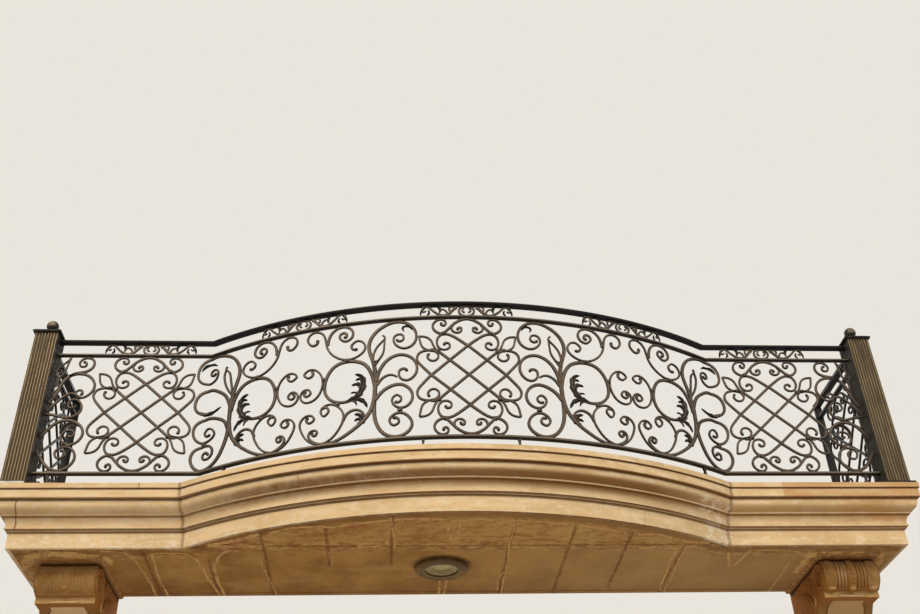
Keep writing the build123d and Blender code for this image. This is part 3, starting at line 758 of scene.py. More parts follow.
class Tip(Enum):
    """How a bar ends."""

    PLAIN = "plain"
    KNOB = "knob"


class Section(Enum):
    """What a bar is in section."""

    BAR = "bar"
    BLADE = "blade"
    LEAF = "leaf"


@dataclass(frozen=True)
class Stroke:
    """One bent bar or leaf of a drawing, in millimetres along and above the rail line."""

    points: tuple[Point, ...]
    width: float = 12.0
    end_width: float = 12.0
    tip: Tip = Tip.KNOB
    start: Tip = Tip.PLAIN
    section: Section = Section.BAR
    depth: float = 12.0
    wind: float = 2.4


@dataclass(frozen=True)
class Clasp:
    """A wrapped collar round two bars, in millimetres."""

    at: Point
    turn: float = 0.0
    length: float = 24.0
    width: float = 18.0


@dataclass
class RailLine:
    """The rail line in plan: a bow with a straight bay on each side."""

    bow_half_chord: float = 1.430
    bow_rise: float = 0.415
    line_y: float = -0.690
    zero_z: float = 0.187
    post_inner_x: float = 2.300

    def __post_init__(self) -> None:
        """Work out the bow's radius, centre and length."""
        self.radius = (self.bow_half_chord ** 2 + self.bow_rise ** 2) / (2 * self.bow_rise)
        self.centre_y = self.line_y - self.bow_rise + self.radius
        self.half_arc = self.radius * math.asin(self.bow_half_chord / self.radius)
        self.post_face_u = self.half_arc + self.post_inner_x - self.bow_half_chord

    def kink_x(self, out: float) -> float:
        """X of the kink for a line stepped out from the rail line."""
        return math.sqrt(self.bow_half_chord ** 2 + 2 * out * self.bow_rise)

    def place(self, u: np.ndarray, v: np.ndarray, out: np.ndarray) -> np.ndarray:
        """Put drawing points into space.

        Args:
            u: Length along the rail line from the bow's middle, in metres.
            v: Height over the railing's zero, in metres.
            out: Distance out from the rail line, in metres.

        Returns:
            One row of X, Y and Z for each point.
        """
        side = np.where(u < 0, -1.0, 1.0)
        reach = np.abs(u)
        turn = np.minimum(reach, self.half_arc) / self.radius
        bow_x = (self.radius + out) * np.sin(turn)
        bow_y = self.centre_y - (self.radius + out) * np.cos(turn)
        on_bow = reach <= self.half_arc
        x = np.where(on_bow, bow_x, self.bow_half_chord + reach - self.half_arc)
        y = np.where(on_bow, bow_y, self.line_y - out)
        return np.stack([side * x, y, self.zero_z + v], axis=1)


@dataclass
class SideLine:
    """The side return in plan: a straight line from the post back to the wall."""

    side: float
    centre_x: float
    middle_y: float
    zero_z: float

    def place(self, u: np.ndarray, v: np.ndarray, out: np.ndarray) -> np.ndarray:
        """Put drawing points into space, with u from the return's middle towards the wall."""
        x = self.side * (self.centre_x + out)
        return np.stack([x, self.middle_y + u, self.zero_z + v + 0 * u], axis=1)


@dataclass
class MeshWork:
    """Points, faces and per-point shares of bronze and painted shade of one piece while it is made."""

    points: list[np.ndarray] = field(default_factory=list)
    faces: list[tuple[int, ...]] = field(default_factory=list)
    rub_and_shade: list[float] = field(default_factory=list)
    count: int = 0

    def rings(self, rings: list[np.ndarray], rub_and_shade: list[float], closed: bool = False) -> None:
        """Add a skin over rings of equal size, closed with a face at both ends.

        Args:
            rings: One array of points for each ring.
            rub_and_shade: Share of bronze at each point of a ring, low where painted shade keeps the iron
                black.
            closed: Whether the last ring joins the first, with no end faces.
        """
        size = len(rings[0])
        count = len(rings)
        for i in range(count if closed else count - 1):
            near = self.count + i * size
            far = self.count + (i + 1) % count * size
            for j in range(size):
                k = (j + 1) % size
                self.faces.append((near + j, near + k, far + k, far + j))
        if not closed:
            last = self.count + (count - 1) * size
            self.faces.append(tuple(self.count + j for j in reversed(range(size))))
            self.faces.append(tuple(last + j for j in range(size)))
        self.points.extend(rings)
        self.rub_and_shade.extend(list(rub_and_shade) * count)
        self.count += count * size

    def build(self, name: str, material: bpy.types.Material, slot: str,
              nodes: tuple[str, ...] = (), smooth: float = 50.0) -> None:
        """Make the object, dress it and let it ride.

        Args:
            name: The piece's name.
            material: Its material.
            slot: Not used.
            nodes: CAD nodes that it stands for.
            smooth: Angle in degrees up to which edges are shaded smooth.
        """
        mesh = bpy.data.meshes.new(name)
        mesh.from_pydata(np.concatenate(self.points).tolist(), [], self.faces)
        mesh.validate()
        attribute = mesh.attributes.new("rub_and_shade", "FLOAT", "POINT")
        attribute.data.foreach_set("value", np.array(self.rub_and_shade, np.float32))
        piece = bpy.data.objects.new(name, mesh)
        bpy.context.scene.collection.objects.link(piece)
        mesh.materials.append(material)
        settle_normals(piece, smooth)
        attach(piece, BODY)
        if nodes:
            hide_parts(*nodes)
        log.info("%s: %d faces", name, len(mesh.polygons))


def settle_normals(piece: bpy.types.Object, smooth: float) -> None:
    """Turn all faces outward and shade the soft edges smooth.

    Args:
        piece: The object.
        smooth: Angle in degrees up to which edges are shaded smooth.
    """
    bpy.context.view_layer.objects.active = piece
    piece.select_set(True)
    bpy.ops.object.mode_set(mode="EDIT")
    bpy.ops.mesh.select_all(action="SELECT")
    bpy.ops.mesh.normals_make_consistent(inside=False)
    bpy.ops.object.mode_set(mode="OBJECT")
    bpy.ops.object.shade_smooth_by_angle(angle=math.radians(smooth))
    piece.select_set(False)


def smooth_line(points: np.ndarray, turn_step: float = 0.16, longest: float = 24.0) -> np.ndarray:
    """Natural cubic spline through points, sampled closer where it bends more.

    Args:
        points: Two columns of given points.
        turn_step: Turn in radians from one station to the next.
        longest: Longest step in the points' own units.

    Returns:
        Stations along the curve.
    """
    if len(points) == 2:
        steps = max(2, int(np.linalg.norm(points[1] - points[0]) / (2 * longest)))
        share = np.linspace(0, 1, steps + 1)[:, None]
        return points[0] * (1 - share) + points[1] * share
    gaps = np.linalg.norm(np.diff(points, axis=0), axis=1)
    knots = np.concatenate([[0], np.cumsum(gaps)])
    size = len(points)
    grid = np.zeros((size, size))
    right = np.zeros((size, 2))
    grid[0, 0] = grid[-1, -1] = 1
    slope = np.diff(points, axis=0) / gaps[:, None]
    for i in range(1, size - 1):
        grid[i, i - 1] = gaps[i - 1]
        grid[i, i] = 2 * (gaps[i - 1] + gaps[i])
        grid[i, i + 1] = gaps[i]
        right[i] = 6 * (slope[i] - slope[i - 1])
    bend = np.linalg.solve(grid, right)
    fine = np.linspace(0, knots[-1], 24 * size)
    cell = np.clip(np.searchsorted(knots, fine, side="right") - 1, 0, size - 2)
    left = (knots[cell + 1] - fine)[:, None]
    past = (fine - knots[cell])[:, None]
    gap = gaps[cell][:, None]
    curve = (
        bend[cell] * left ** 3 / (6 * gap) + bend[cell + 1] * past ** 3 / (6 * gap)
        + (points[cell] / gap - bend[cell] * gap / 6) * left
        + (points[cell + 1] / gap - bend[cell + 1] * gap / 6) * past
    )
    step = np.diff(curve, axis=0)
    length = np.linalg.norm(step, axis=1)
    heading = np.unwrap(np.arctan2(step[:, 1], step[:, 0]))
    turned = np.concatenate([[0], np.cumsum(np.abs(np.diff(heading)))])
    effort = np.concatenate([[0], np.cumsum(length / longest)])
    effort[1:] += turned / turn_step
    stations = max(4, int(math.ceil(effort[-1])))
    picks = np.interp(np.linspace(0, effort[-1], stations + 1), effort, np.arange(len(effort)))
    low = np.floor(picks).astype(int)
    high = np.minimum(low + 1, len(curve) - 1)
    share = (picks - low)[:, None]
    return curve[low] * (1 - share) + curve[high] * share


@dataclass
class Forge:
    """Bends strokes into bars with bevelled edges along a line in plan, in millimetres."""

    line: RailLine | SideLine | ConsoleFace
    mirror: bool = False
    plump: float = 1.27
    flare: float = 3.2
    flare_reach: float = 26.0
    curl_shrink: float = 0.15
    curl_step: float = 0.3
    curl_reach: float = 18.0
    curl_radii: Point = (6.0, 26.0)
    least_turn: float = 0.12
    leaf_steps: int = 12
    tooth_pitch: float = 10.0
    knob_extra: float = 4.6
    knob_deep: float = 8.5
    round_sides: int = 12
    clasp_deep: float = 8.5
    band_deep: float = 10.0
    band_extra: float = 4.0
    band_share: float = 0.36

    def world(self, u: np.ndarray, v: np.ndarray, out: np.ndarray) -> np.ndarray:
        """Place drawing points given in millimetres."""
        side = -1.0 if self.mirror else 1.0
        return self.line.place(side * u * MM, v * MM, out * MM)

    def section(self, kind: Section, half: float, deep: float) -> tuple[np.ndarray, list[float]]:
        """Eight corners of a bar with its edges hammered off, or of a leaf with a raised spine.

        Args:
            kind: Bar, blade or leaf.
            half: Half of its width.
            deep: Half of its depth.

        Returns:
            One row for each corner, and their shares of bronze, low on the sides and back as painted
            shade.
        """
        # Shares of bronze: high on the front corners and low on the sides and back, which keeps those
        # black as painted shade.
        if kind is Section.BAR:
            cut = 0.40 * min(half, deep)
            edge = 0.42 * half
            corners = [
                (half, deep - cut), (half - edge, deep), (edge - half, deep), (-half, deep - cut),
                (-half, cut - deep), (edge - half, -deep), (half - edge, -deep), (half, cut - deep),
            ]
            return np.array(corners), [0.3, 1.0, 1.0, 0.3, 0.0, 0.0, 0.0, 0.0]
        corners = [
            (half, 0.55 * deep), (0.45 * half, 0.15 * deep), (0.0, deep), (-0.45 * half, 0.15 * deep),
            (-half, 0.55 * deep), (-0.8 * half, -0.2 * deep), (0.0, -0.5 * deep),
            (0.8 * half, -0.2 * deep),
        ]
        return np.array(corners), [1.0, 0.35, 1.0, 0.35, 1.0, 0.15, 0.15, 0.15]

    def curl(self, centre: np.ndarray, wind: float) -> np.ndarray:
        """Wind the end of a bar on as a spiral that tightens.

        Args:
            centre: Stations along the bar, which ends where the spiral starts.
            wind: Turn of the spiral in radians.

        Returns:
            The stations of the spiral after the last one.
        """
        run = np.linalg.norm(np.diff(centre, axis=0), axis=1)
        back = np.concatenate([[0], np.cumsum(run[::-1])])
        reach = min(self.curl_reach, back[-1] / 3)
        spots = [
            np.array([np.interp(k * reach, back, centre[::-1, axis]) for axis in (0, 1)])
            for k in range(3)
        ]
        last = spots[0] - spots[1]
        before = spots[1] - spots[2]
        heading = math.atan2(last[1], last[0])
        turned = heading - math.atan2(before[1], before[0])
        turned = (turned + math.pi) % (2 * math.pi) - math.pi
        if abs(turned) < self.least_turn:
            return np.empty((0, 2))
        way = math.copysign(1.0, turned)
        tightest, widest = self.curl_radii
        radius = min(widest, max(tightest, 0.9 * reach / abs(turned)))
        heading += turned / 2
        spot = centre[-1]
        step = self.curl_step
        stations = []
        for _ in range(int(wind / step)):
            heading += way * step
            spot = spot + radius * step * np.array([math.cos(heading), math.sin(heading)])
            stations.append(spot)
            radius *= math.exp(-self.curl_shrink * step)
        return np.array(stations)

    def leaf_half(self, stroke: Stroke, share: float) -> float:
        """Half width of a leaf, with lobes on a serrated one.

        Args:
            stroke: The leaf.
            share: Place along it, from 0 to 1.

        Returns:
            The half width.
        """
        swell = math.sin(math.pi * min(1.0, max(0.0, share)) ** 0.8) ** 0.55
        if stroke.section is Section.LEAF:
            tooth = (share * self.teeth(stroke)) % 1.0
            swell *= 0.66 + 0.34 * (tooth / 0.75 if tooth < 0.75 else (1.0 - tooth) / 0.25)
        return max(1.2, stroke.width / 2 * swell)

    def teeth(self, stroke: Stroke) -> int:
        """Number of lobes along a serrated leaf."""
        return max(2, round(stroke.width / self.tooth_pitch))

    def bend(self, work: MeshWork, stroke: Stroke, shift: float = 0.0) -> None:
        """Add one stroke to a piece.

        Args:
            work: The piece being made.
            stroke: The bar or leaf.
            shift: How far it lies in front of its line, in millimetres.
        """
        centre = smooth_line(np.array(stroke.points, float))
        if stroke.section is Section.LEAF:
            count = self.teeth(stroke) * self.leaf_steps
            place = np.linspace(0, 1, count + 1)
            own = np.linspace(0, 1, len(centre))
            centre = np.stack([np.interp(place, own, centre[:, axis]) for axis in (0, 1)], axis=1)
        if stroke.tip is Tip.KNOB:
            centre = np.concatenate([centre, self.curl(centre, stroke.wind).reshape(-1, 2)])
        if stroke.start is Tip.KNOB:
            start = self.curl(centre[::-1], stroke.wind).reshape(-1, 2)
            centre = np.concatenate([start[::-1], centre])
        steps = np.gradient(centre, axis=0)
        steps /= np.linalg.norm(steps, axis=1)[:, None]
        side = np.stack([-steps[:, 1], steps[:, 0]], axis=1)
        length = np.concatenate([[0], np.cumsum(np.linalg.norm(np.diff(centre, axis=0), axis=1))])
        along = length / length[-1]
        flare = np.zeros(len(centre))
        if stroke.tip is Tip.KNOB:
            flare += self.flare * np.exp((length - length[-1]) / self.flare_reach)
        if stroke.start is Tip.KNOB:
            flare += self.flare * np.exp(-length / self.flare_reach)
        rings = []
        rub_and_shade: list[float] = []
        for spot, normal, share, wider in zip(centre, side, along, flare):
            if stroke.section is Section.BAR:
                half = (stroke.width + (stroke.end_width - stroke.width) * share) / 2 * self.plump
                half += wider
            else:
                half = self.leaf_half(stroke, share)
            shape, rub_and_shade = self.section(stroke.section, half, stroke.depth / 2)
            flat = spot + shape[:, :1] * normal
            rings.append(self.world(flat[:, 0], flat[:, 1], shape[:, 1] + shift))
        work.rings(rings, rub_and_shade)
        if stroke.tip is Tip.KNOB:
            self.knob(work, centre[-1], stroke.end_width, shift)
        if stroke.start is Tip.KNOB:
            self.knob(work, centre[0], stroke.width, shift)

    def knob(self, work: MeshWork, spot: np.ndarray, width: float, shift: float) -> None:
        """Add the small rounded eye at a scroll's end.

        Args:
            work: The piece being made.
            spot: Its middle.
            width: Width of the bar there.
            shift: How far it lies in front of its line.
        """
        radius = 0.5 * width + self.knob_extra
        sides = self.round_sides
        angle = np.linspace(0, 2 * math.pi, sides, endpoint=False)
        rings = []
        for level in (-0.96, -0.7, -0.25, 0.25, 0.7, 0.96):
            ring = radius * math.sqrt(1 - level ** 2)
            u = spot[0] + ring * np.cos(angle)
            v = spot[1] + ring * np.sin(angle)
            rings.append(self.world(u, v, np.full(sides, level * self.knob_deep + shift)))
        work.rings(rings, [0.8] * sides)

    def clasp(self, work: MeshWork, clasp: Clasp) -> None:
        """Add a collar with rounded edges and a raised middle band.

        Args:
            work: The piece being made.
            clasp: The collar.
        """
        angle = math.radians(clasp.turn)
        for length, width, deep in (
            (clasp.length, clasp.width, self.clasp_deep),
            (clasp.length * self.band_share, clasp.width + self.band_extra, self.band_deep),
        ):
            rings = []
            for place, swell in ((-0.5, 0.82), (-0.4, 1.0), (0.4, 1.0), (0.5, 0.82)):
                shape, rub_and_shade = self.section(Section.BAR, width / 2 * swell, deep * swell)
                x = np.full(len(shape), place * length)
                u = clasp.at[0] + x * math.cos(angle) - shape[:, 0] * math.sin(angle)
                v = clasp.at[1] + x * math.sin(angle) + shape[:, 0] * math.cos(angle)
                rings.append(self.world(u, v, shape[:, 1]))
            work.rings(rings, rub_and_shade)


def bar(points: tuple[Point, ...], width: float, end_width: float) -> Stroke:
    """A bar with both ends plain."""
    return Stroke(points, width, end_width, Tip.PLAIN)


def leaf(points: tuple[Point, ...], width: float, depth: float = 12.0) -> Stroke:
    """A serrated leaf."""
    return Stroke(points, width, tip=Tip.PLAIN, section=Section.LEAF, depth=depth)


def flipped(strokes: list[Stroke], about: float) -> list[Stroke]:
    """Strokes mirrored left to right about a place."""
    return [replace(s, points=tuple((2 * about - u, v) for u, v in s.points)) for s in strokes]


def upended(strokes: list[Stroke], about: float) -> list[Stroke]:
    """Strokes mirrored top to bottom about a height."""
    return [replace(s, points=tuple((u, 2 * about - v) for u, v in s.points)) for s in strokes]


def moved(strokes: list[Stroke], along: float, up: float = 0.0) -> list[Stroke]:
    """Strokes shifted along the rail line and up."""
    return [replace(s, points=tuple((u + along, v + up) for u, v in s.points)) for s in strokes]


@dataclass
class ScrollWork:
    """All drawings of the railing's filling, in millimetres, drawn for the right side."""

    line: RailLine
    iron: bpy.types.Material
    slot: str = "scroll_iron"
    middle: float = 440.75
    half_u: float = 100.0
    half_v: float = 92.0
    centre_stem: float = 495.0
    kink_setback: float = 164.0
    leaf_bar: float = 9.0
    lap: float = 1.5

    def __post_init__(self) -> None:
        """Work out where the bays stand."""
        self.kink_stem = self.line.half_arc / MM - self.kink_setback
        self.post_face = self.line.post_face_u / MM
        self.bay_centre = (self.centre_stem + self.kink_stem) / 2
        self.lattice_centre = (self.kink_stem + self.post_face) / 2

    def lattice(self) -> tuple[list[Stroke], list[Clasp]]:
        """Nine-crossing lattice with lobes, leaf buds and crests, about its own middle.

        Returns:
            Its bars and its collars.
        """
        quarter = [
            Stroke(((0, 2 * self.half_v), (-53, 227), (-87, 250), (-118, 260), (-146, 254),
                    (-164, 228), (-166, 195), (-148, 165), (-120, 160), (-98, 177), (-103, 199),
                    (-118, 203)), 13, 8),
            Stroke(((-2 * self.half_u, 0), (-246, 53), (-275, 108), (-262, 140), (-221, 155),
                    (-175, 145), (-160, 115), (-178, 90), (-206, 93), (-218, 108)), 12, 8),
            bar(((-160, 148), (-184, 182), (-200, 222), (-226, 244), (-264, 250)), self.leaf_bar,
                self.leaf_bar),
            bar(((-160, 148), (-212, 156), (-246, 180), (-257, 212), (-264, 250)), self.leaf_bar,
                self.leaf_bar),
            Stroke(((-128, 264), (-146, 265), (-170, 277), (-187, 303), (-184, 330), (-165, 351),
                    (-140, 357), (-119, 344), (-117, 328), (-127, 317), (-139, 321)), 12, 8),
            bar(((-130, 264), (-114, 280), (-93, 303), (-73, 325), (-51, 341), (-27, 353), (0, 358)), 12,
                12),
            Stroke(((-76, 322), (-86, 302), (-80, 281), (-61, 269), (-41, 273), (-31, 288), (-36, 301),
                    (-48, 300)), 11, 8),
            bar(((-160, 148), (-182, 160), (-204, 162)), 10, 6),
        ]
        quarter = [replace(s, wind=1.0) for s in quarter]
        strokes = quarter + flipped(quarter, 0.0)
        strokes += upended(strokes, 0.0)
        for step in (-1, 0, 1):
            for lean in (-1, 1):
                run = 1.6 if step == 0 else 1.0
                u = step * self.half_u * lean
                v = step * self.half_v
                reach_u = -self.half_u * run * lean
                reach_v = self.half_v * run
                strokes.append(bar(((u - reach_u, v - reach_v), (u + reach_u, v + reach_v)), 12, 12))
        corners = [(a, b) for a in (-1, 1) for b in (-1, 1)]
        clasps = [Clasp((a * 160, b * 149), 90 - a * b * 42, 20, 20) for a, b in corners]
        clasps += [Clasp((a * 130, b * 265), 90, 22, 16) for a, b in corners]
        return strokes, clasps

    def lattice_at(self, along: float) -> tuple[list[Stroke], list[Clasp]]:
        """The lattice at its own height and at a place along the rail line.

        Args:
            along: The place of its middle.

        Returns:
            Its bars and its collars.
        """
        strokes, clasps = self.lattice()
        collars = [replace(c, at=(c.at[0] + along, c.at[1] + self.middle)) for c in clasps]
        return moved(strokes, along, self.middle), collars

    def centre_tree(self) -> tuple[list[Stroke], list[Clasp]]:
        """Branching scrolls beside the middle lattice.

        Returns:
            Its bars and its collars.
        """
        strokes = [
            Stroke(((497, 400), (500, 470), (510, 540), (529, 600), (537, 645), (517, 715), (460, 770),
                    (380, 795), (310, 768), (278, 705), (290, 650), (338, 620), (385, 640), (402, 675),
                    (388, 708), (356, 708), (346, 686)), 19, 8),
            Stroke(((495, 420), (470, 500), (420, 560), (365, 578), (300, 550), (276, 500), (290, 440),
                    (335, 415), (368, 438), (372, 470)), 16, 9),
            bar(((490, 400), (460, 440), (415, 457), (382, 442)), 13, 8),
            Stroke(((495, 310), (470, 345), (420, 382), (365, 392), (315, 360), (300, 310), (325, 262),
                    (365, 250), (403, 278), (405, 310), (382, 328), (360, 312)), 16, 8),
            Stroke(((497, 470), (501, 330), (502, 240), (482, 150), (440, 98), (390, 82), (330, 103),
                    (303, 150), (320, 195), (365, 222), (405, 208), (420, 175), (398, 150), (374, 162)),
                   20, 9),
            bar(((505, 520), (512, 575), (500, 623), (470, 665), (450, 700), (462, 712)), 10, 7),
            bar(((505, 520), (480, 560), (460, 596), (453, 645), (450, 700)), 10, 7),
            bar(((509, 550), (494, 548), (476, 562)), 9, 7),
            leaf(((300, 735), (322, 762), (352, 752), (344, 728)), 20),
        ]
        return strokes, [Clasp((366, 237), 0, 26, 18)]

    def kink_tree(self) -> tuple[list[Stroke], list[Clasp]]:
        """Branching scrolls that fold over the kink.

        Returns:
            Its bars and its collars.
        """
        strokes = [
            Stroke(((1345, 400), (1339, 480), (1322, 560), (1304, 640), (1321, 705), (1369, 762),
                    (1430, 790), (1499, 795), (1558, 758), (1578, 695), (1566, 645), (1525, 625),
                    (1474, 637), (1456, 675), (1472, 710), (1500, 706), (1506, 688)), 19, 8),
            bar(((1347, 440), (1382, 510), (1435, 553), (1492, 577), (1548, 557), (1574, 500), (1563, 450),
                 (1515, 427), (1480, 430)), 16, 12),
            Stroke(((1350, 300), (1372, 345), (1425, 380), (1499, 395), (1556, 362), (1566, 310),
                    (1544, 265), (1484, 250), (1436, 285), (1453, 320), (1486, 330), (1502, 312)), 16, 8),
            Stroke(((1343, 470), (1342, 340), (1347, 250), (1364, 190), (1399, 122), (1449, 84),
                    (1519, 84), (1562, 140), (1549, 200), (1509, 222), (1449, 212), (1434, 172),
                    (1460, 142), (1494, 152), (1496, 172)), 20, 9),
            bar(((1338, 500), (1378, 556), (1402, 612), (1408, 655), (1399, 692)), 10, 9),
            bar(((1338, 500), (1350, 570), (1362, 625), (1378, 665), (1399, 692), (1392, 704)), 10, 9),
            leaf(((1548, 444), (1505, 424), (1455, 428), (1409, 450)), 30),
            leaf(((1560, 706), (1532, 742), (1496, 748), (1462, 732)), 24),
        ]
        return strokes, [Clasp((1500, 236), 0, 26, 18)]

    def post_tree(self) -> tuple[list[Stroke], list[Clasp]]:
        """Scrolls that spring from the right post.

        Returns:
            Its bars and its collars.
        """
        strokes = [
            Stroke(((2376, 500), (2352, 540), (2336, 585), (2322, 630), (2298, 667), (2268, 686),
                    (2226, 690), (2185, 677), (2154, 645), (2142, 612), (2152, 572), (2180, 543),
                    (2210, 534), (2234, 549), (2236, 572), (2221, 584)), 17, 8),
            bar(((2376, 444), (2350, 478), (2320, 516), (2290, 546), (2260, 560), (2230, 550),
                 (2206, 536)), 12, 9),
            Stroke(((2292, 672), (2262, 691), (2226, 700), (2188, 715), (2167, 748), (2177, 784),
                    (2207, 796), (2238, 784), (2248, 759), (2236, 739), (2216, 740)), 14, 8),
            bar(((2345, 660), (2322, 692), (2313, 735), (2300, 798)), 8, 7),
            bar(((2345, 660), (2366, 688), (2354, 732), (2322, 768), (2300, 798)), 8, 7),
            bar(((2345, 660), (2350, 640), (2334, 600)), 8, 8),
            bar(((2352, 684), (2340, 700), (2343, 716)), 6, 5),
            Stroke(((2379, 430), (2320, 420), (2245, 408), (2192, 450), (2200, 500), (2236, 522),
                    (2264, 505), (2266, 482)), 13, 8),
            Stroke(((2379, 290), (2350, 330), (2315, 370), (2235, 390), (2157, 312), (2180, 258),
                    (2222, 242), (2270, 282), (2246, 326), (2208, 322), (2202, 304)), 15, 8),
            Stroke(((2379, 200), (2352, 160), (2314, 112), (2245, 85), (2174, 155), (2195, 210),
                    (2240, 225), (2282, 195), (2262, 158), (2236, 164)), 15, 8),
            Stroke(((2180, 352), (2226, 372), (2262, 350), (2272, 312), (2250, 284)), 24, 4, Tip.PLAIN,
                   section=Section.BLADE),
        ]
        return strokes, [Clasp((2222, 234), 0, 26, 18)]

    def bow_half(self) -> tuple[list[Stroke], list[Clasp]]:
        """Left half of a bow bay: ring, rising stem, crest and foot scrolls.

        Returns:
            Its bars and its collars.
        """
        strokes = [
            bar(((502, 400), (514, 455), (532, 500), (562, 540), (606, 562), (652, 568), (719, 550),
                 (762, 495), (776, 440), (769, 380), (729, 332), (668, 316), (620, 324)), 17, 12),
            Stroke(((500, 330), (516, 258), (560, 188), (629, 130), (700, 90), (775, 80), (830, 105),
                    (852, 140), (835, 168), (806, 158), (812, 138)), 18, 8),
            Stroke(((866, 708), (886, 734), (880, 775), (839, 791), (800, 768), (774, 680), (719, 605),
                    (655, 580), (592, 598), (558, 642), (572, 682), (605, 694), (632, 674)), 10, 9,
                   start=Tip.KNOB),
            Stroke(((700, 722), (672, 700), (636, 716), (630, 760), (664, 792), (715, 790), (755, 752),
                    (768, 690)), 10, 12, Tip.PLAIN, Tip.KNOB, wind=5.0),
            Stroke(((876, 500), (898, 522), (872, 548), (819, 530), (790, 470), (798, 402), (840, 352),
                    (888, 350), (912, 382), (900, 420), (868, 424), (856, 398), (876, 384)), 9, 9,
                   start=Tip.KNOB),
            Stroke(((748, 268), (772, 246), (790, 268), (778, 300), (745, 312), (695, 290), (664, 230),
                    (685, 160), (735, 100), (785, 83), (850, 108), (895, 175), (904, 222), (878, 258),
                    (840, 258), (826, 234), (846, 216)), 9, 9, start=Tip.KNOB),
            bar(((668, 205), (645, 245), (604, 262), (564, 242), (550, 208), (556, 180)), 13, 9),
            leaf(((650, 318), (604, 332), (572, 370), (562, 420), (574, 460), (610, 478)), 46, 15.0),
            leaf(((562, 418), (580, 448), (606, 442)), 26),
            leaf(((570, 380), (592, 414), (626, 410)), 30),
            leaf(((586, 344), (604, 366), (632, 366)), 16),
            leaf(((628, 326), (586, 320), (556, 302), (538, 266)), 32),
            leaf(((632, 322), (604, 308), (594, 286)), 16),
            leaf(((556, 172), (562, 206), (580, 226), (606, 232)), 34),
            leaf(((560, 192), (584, 204), (606, 194)), 24),
            leaf(((558, 182), (576, 180), (590, 162)), 22),
        ]
        clasps = [
            Clasp((783, 470), 90, 22, 16), Clasp((655, 574), 0, 24, 20), Clasp((700, 306), 0, 22, 20),
        ]
        return strokes, clasps

    def frieze(self) -> list[Stroke]:
        """Low scroll strip between the two upper rails, about its own middle.

        Returns:
            Its bars and leaves.
        """
        half = [
            bar(((0, 886), (26, 880), (42, 856), (30, 830), (0, 821)), 10, 10),
            bar(((10, 842), (24, 854), (14, 870)), 8, 6),
            bar(((54, 878), (78, 886), (96, 870), (88, 852), (72, 858)), 10, 7),
            bar(((54, 878), (74, 860), (95, 836), (125, 823), (165, 838), (195, 866), (222, 884),
                 (243, 870), (238, 850), (224, 856)), 14, 7),
            bar(((106, 826), (112, 852), (134, 866), (150, 852)), 10, 7),
            leaf(((150, 836), (146, 862), (166, 884), (196, 882)), 20),
            leaf(((222, 884), (246, 862), (254, 826)), 18),
            leaf(((218, 826), (206, 842), (214, 862)), 16),
        ]
        thin = [replace(s, depth=10.0) for s in half]
        return thin + flipped(thin, 0.0)

    def make(self, name: str, strokes: list[Stroke], clasps: list[Clasp], forge: Forge) -> None:
        """Bend one drawing into a piece that stands for the node of the same name.

        Args:
            name: The node's name.
            strokes: Bars and leaves.
            clasps: Collars.
            forge: What bends them.
        """
        work = MeshWork()
        for order, stroke in enumerate(strokes):
            forge.bend(work, stroke, self.lap if order % 2 else -self.lap)
        for clasp in clasps:
            forge.clasp(work, clasp)
        work.build(name + "_iron", self.iron, self.slot, (name,))

    def build(self, side_lines: dict[str, SideLine]) -> None:
        """Make every filling piece of the railing.

        Args:
            side_lines: The plan lines of the two side returns by side name.
        """
        self.make("lattice_centre", *self.lattice_at(0.0), Forge(self.line))
        self.make("frieze_centre", self.frieze(), [], Forge(self.line))
        for side, mirror in (("right", False), ("left", True)):
            forge = Forge(self.line, mirror)
            self.make("lattice_" + side, *self.lattice_at(self.lattice_centre), forge)
            self.make("side_lattice_" + side, *self.lattice_at(0.0), Forge(side_lines[side]))
            self.make("centre_scrolls_" + side, *self.centre_tree(), forge)
            self.make("kink_scrolls_" + side, *self.kink_tree(), forge)
            self.make("post_scrolls_" + side, *self.post_tree(), forge)
            half, collars = self.bow_half()
            whole = half + flipped(half, self.bay_centre)
            both = collars + [
                replace(c, at=(2 * self.bay_centre - c.at[0], c.at[1])) for c in collars
            ]
            self.make("bow_scrolls_" + side, whole, both, forge)
            self.make("frieze_" + side, moved(self.frieze(), self.lattice_centre), [], forge)
            self.make("frieze_bow_" + side, moved(self.frieze(), self.bay_centre), [], forge)


@dataclass(frozen=True)
class RailSize:
    """Section of a rail and the height of its centre over the railing's zero, in metres."""

    width: float
    height: float
    centre_v: float
    crowned: bool = False

    def profile(self) -> tuple[np.ndarray, list[float]]:
        """Corners of the section, stepped out and up from its centre.

        Returns:
            One row for each corner, and their shares of bronze, lower off the front as painted shade.
        """
        out = self.width / 2
        up = self.height / 2
        cut = 0.16 * self.height
        # Shares of bronze: highest on the front and lower on the other faces, which darkens those as
        # painted shade.
        if self.crowned:
            shape = [
                (out, -0.35 * up), (out, 0.3 * up), (0.86 * out, 0.72 * up), (0.45 * out, up),
                (-0.45 * out, up), (-0.86 * out, 0.72 * up), (-out, 0.3 * up), (-out, -0.35 * up),
                (-0.82 * out, -up), (0.82 * out, -up),
            ]
            return np.array(shape), [0.7, 0.8, 0.5, 0.2, 0.2, 0.5, 0.6, 0.4, 0.2, 0.4]
        shape = [
            (out, cut - up), (out, up - cut), (out - cut, up), (cut - out, up), (-out, up - cut),
            (-out, cut - up), (cut - out, -up), (out - cut, -up),
        ]
        return np.array(shape), [1.0, 1.0, 0.5, 0.4, 0.4, 0.4, 0.3, 0.8]


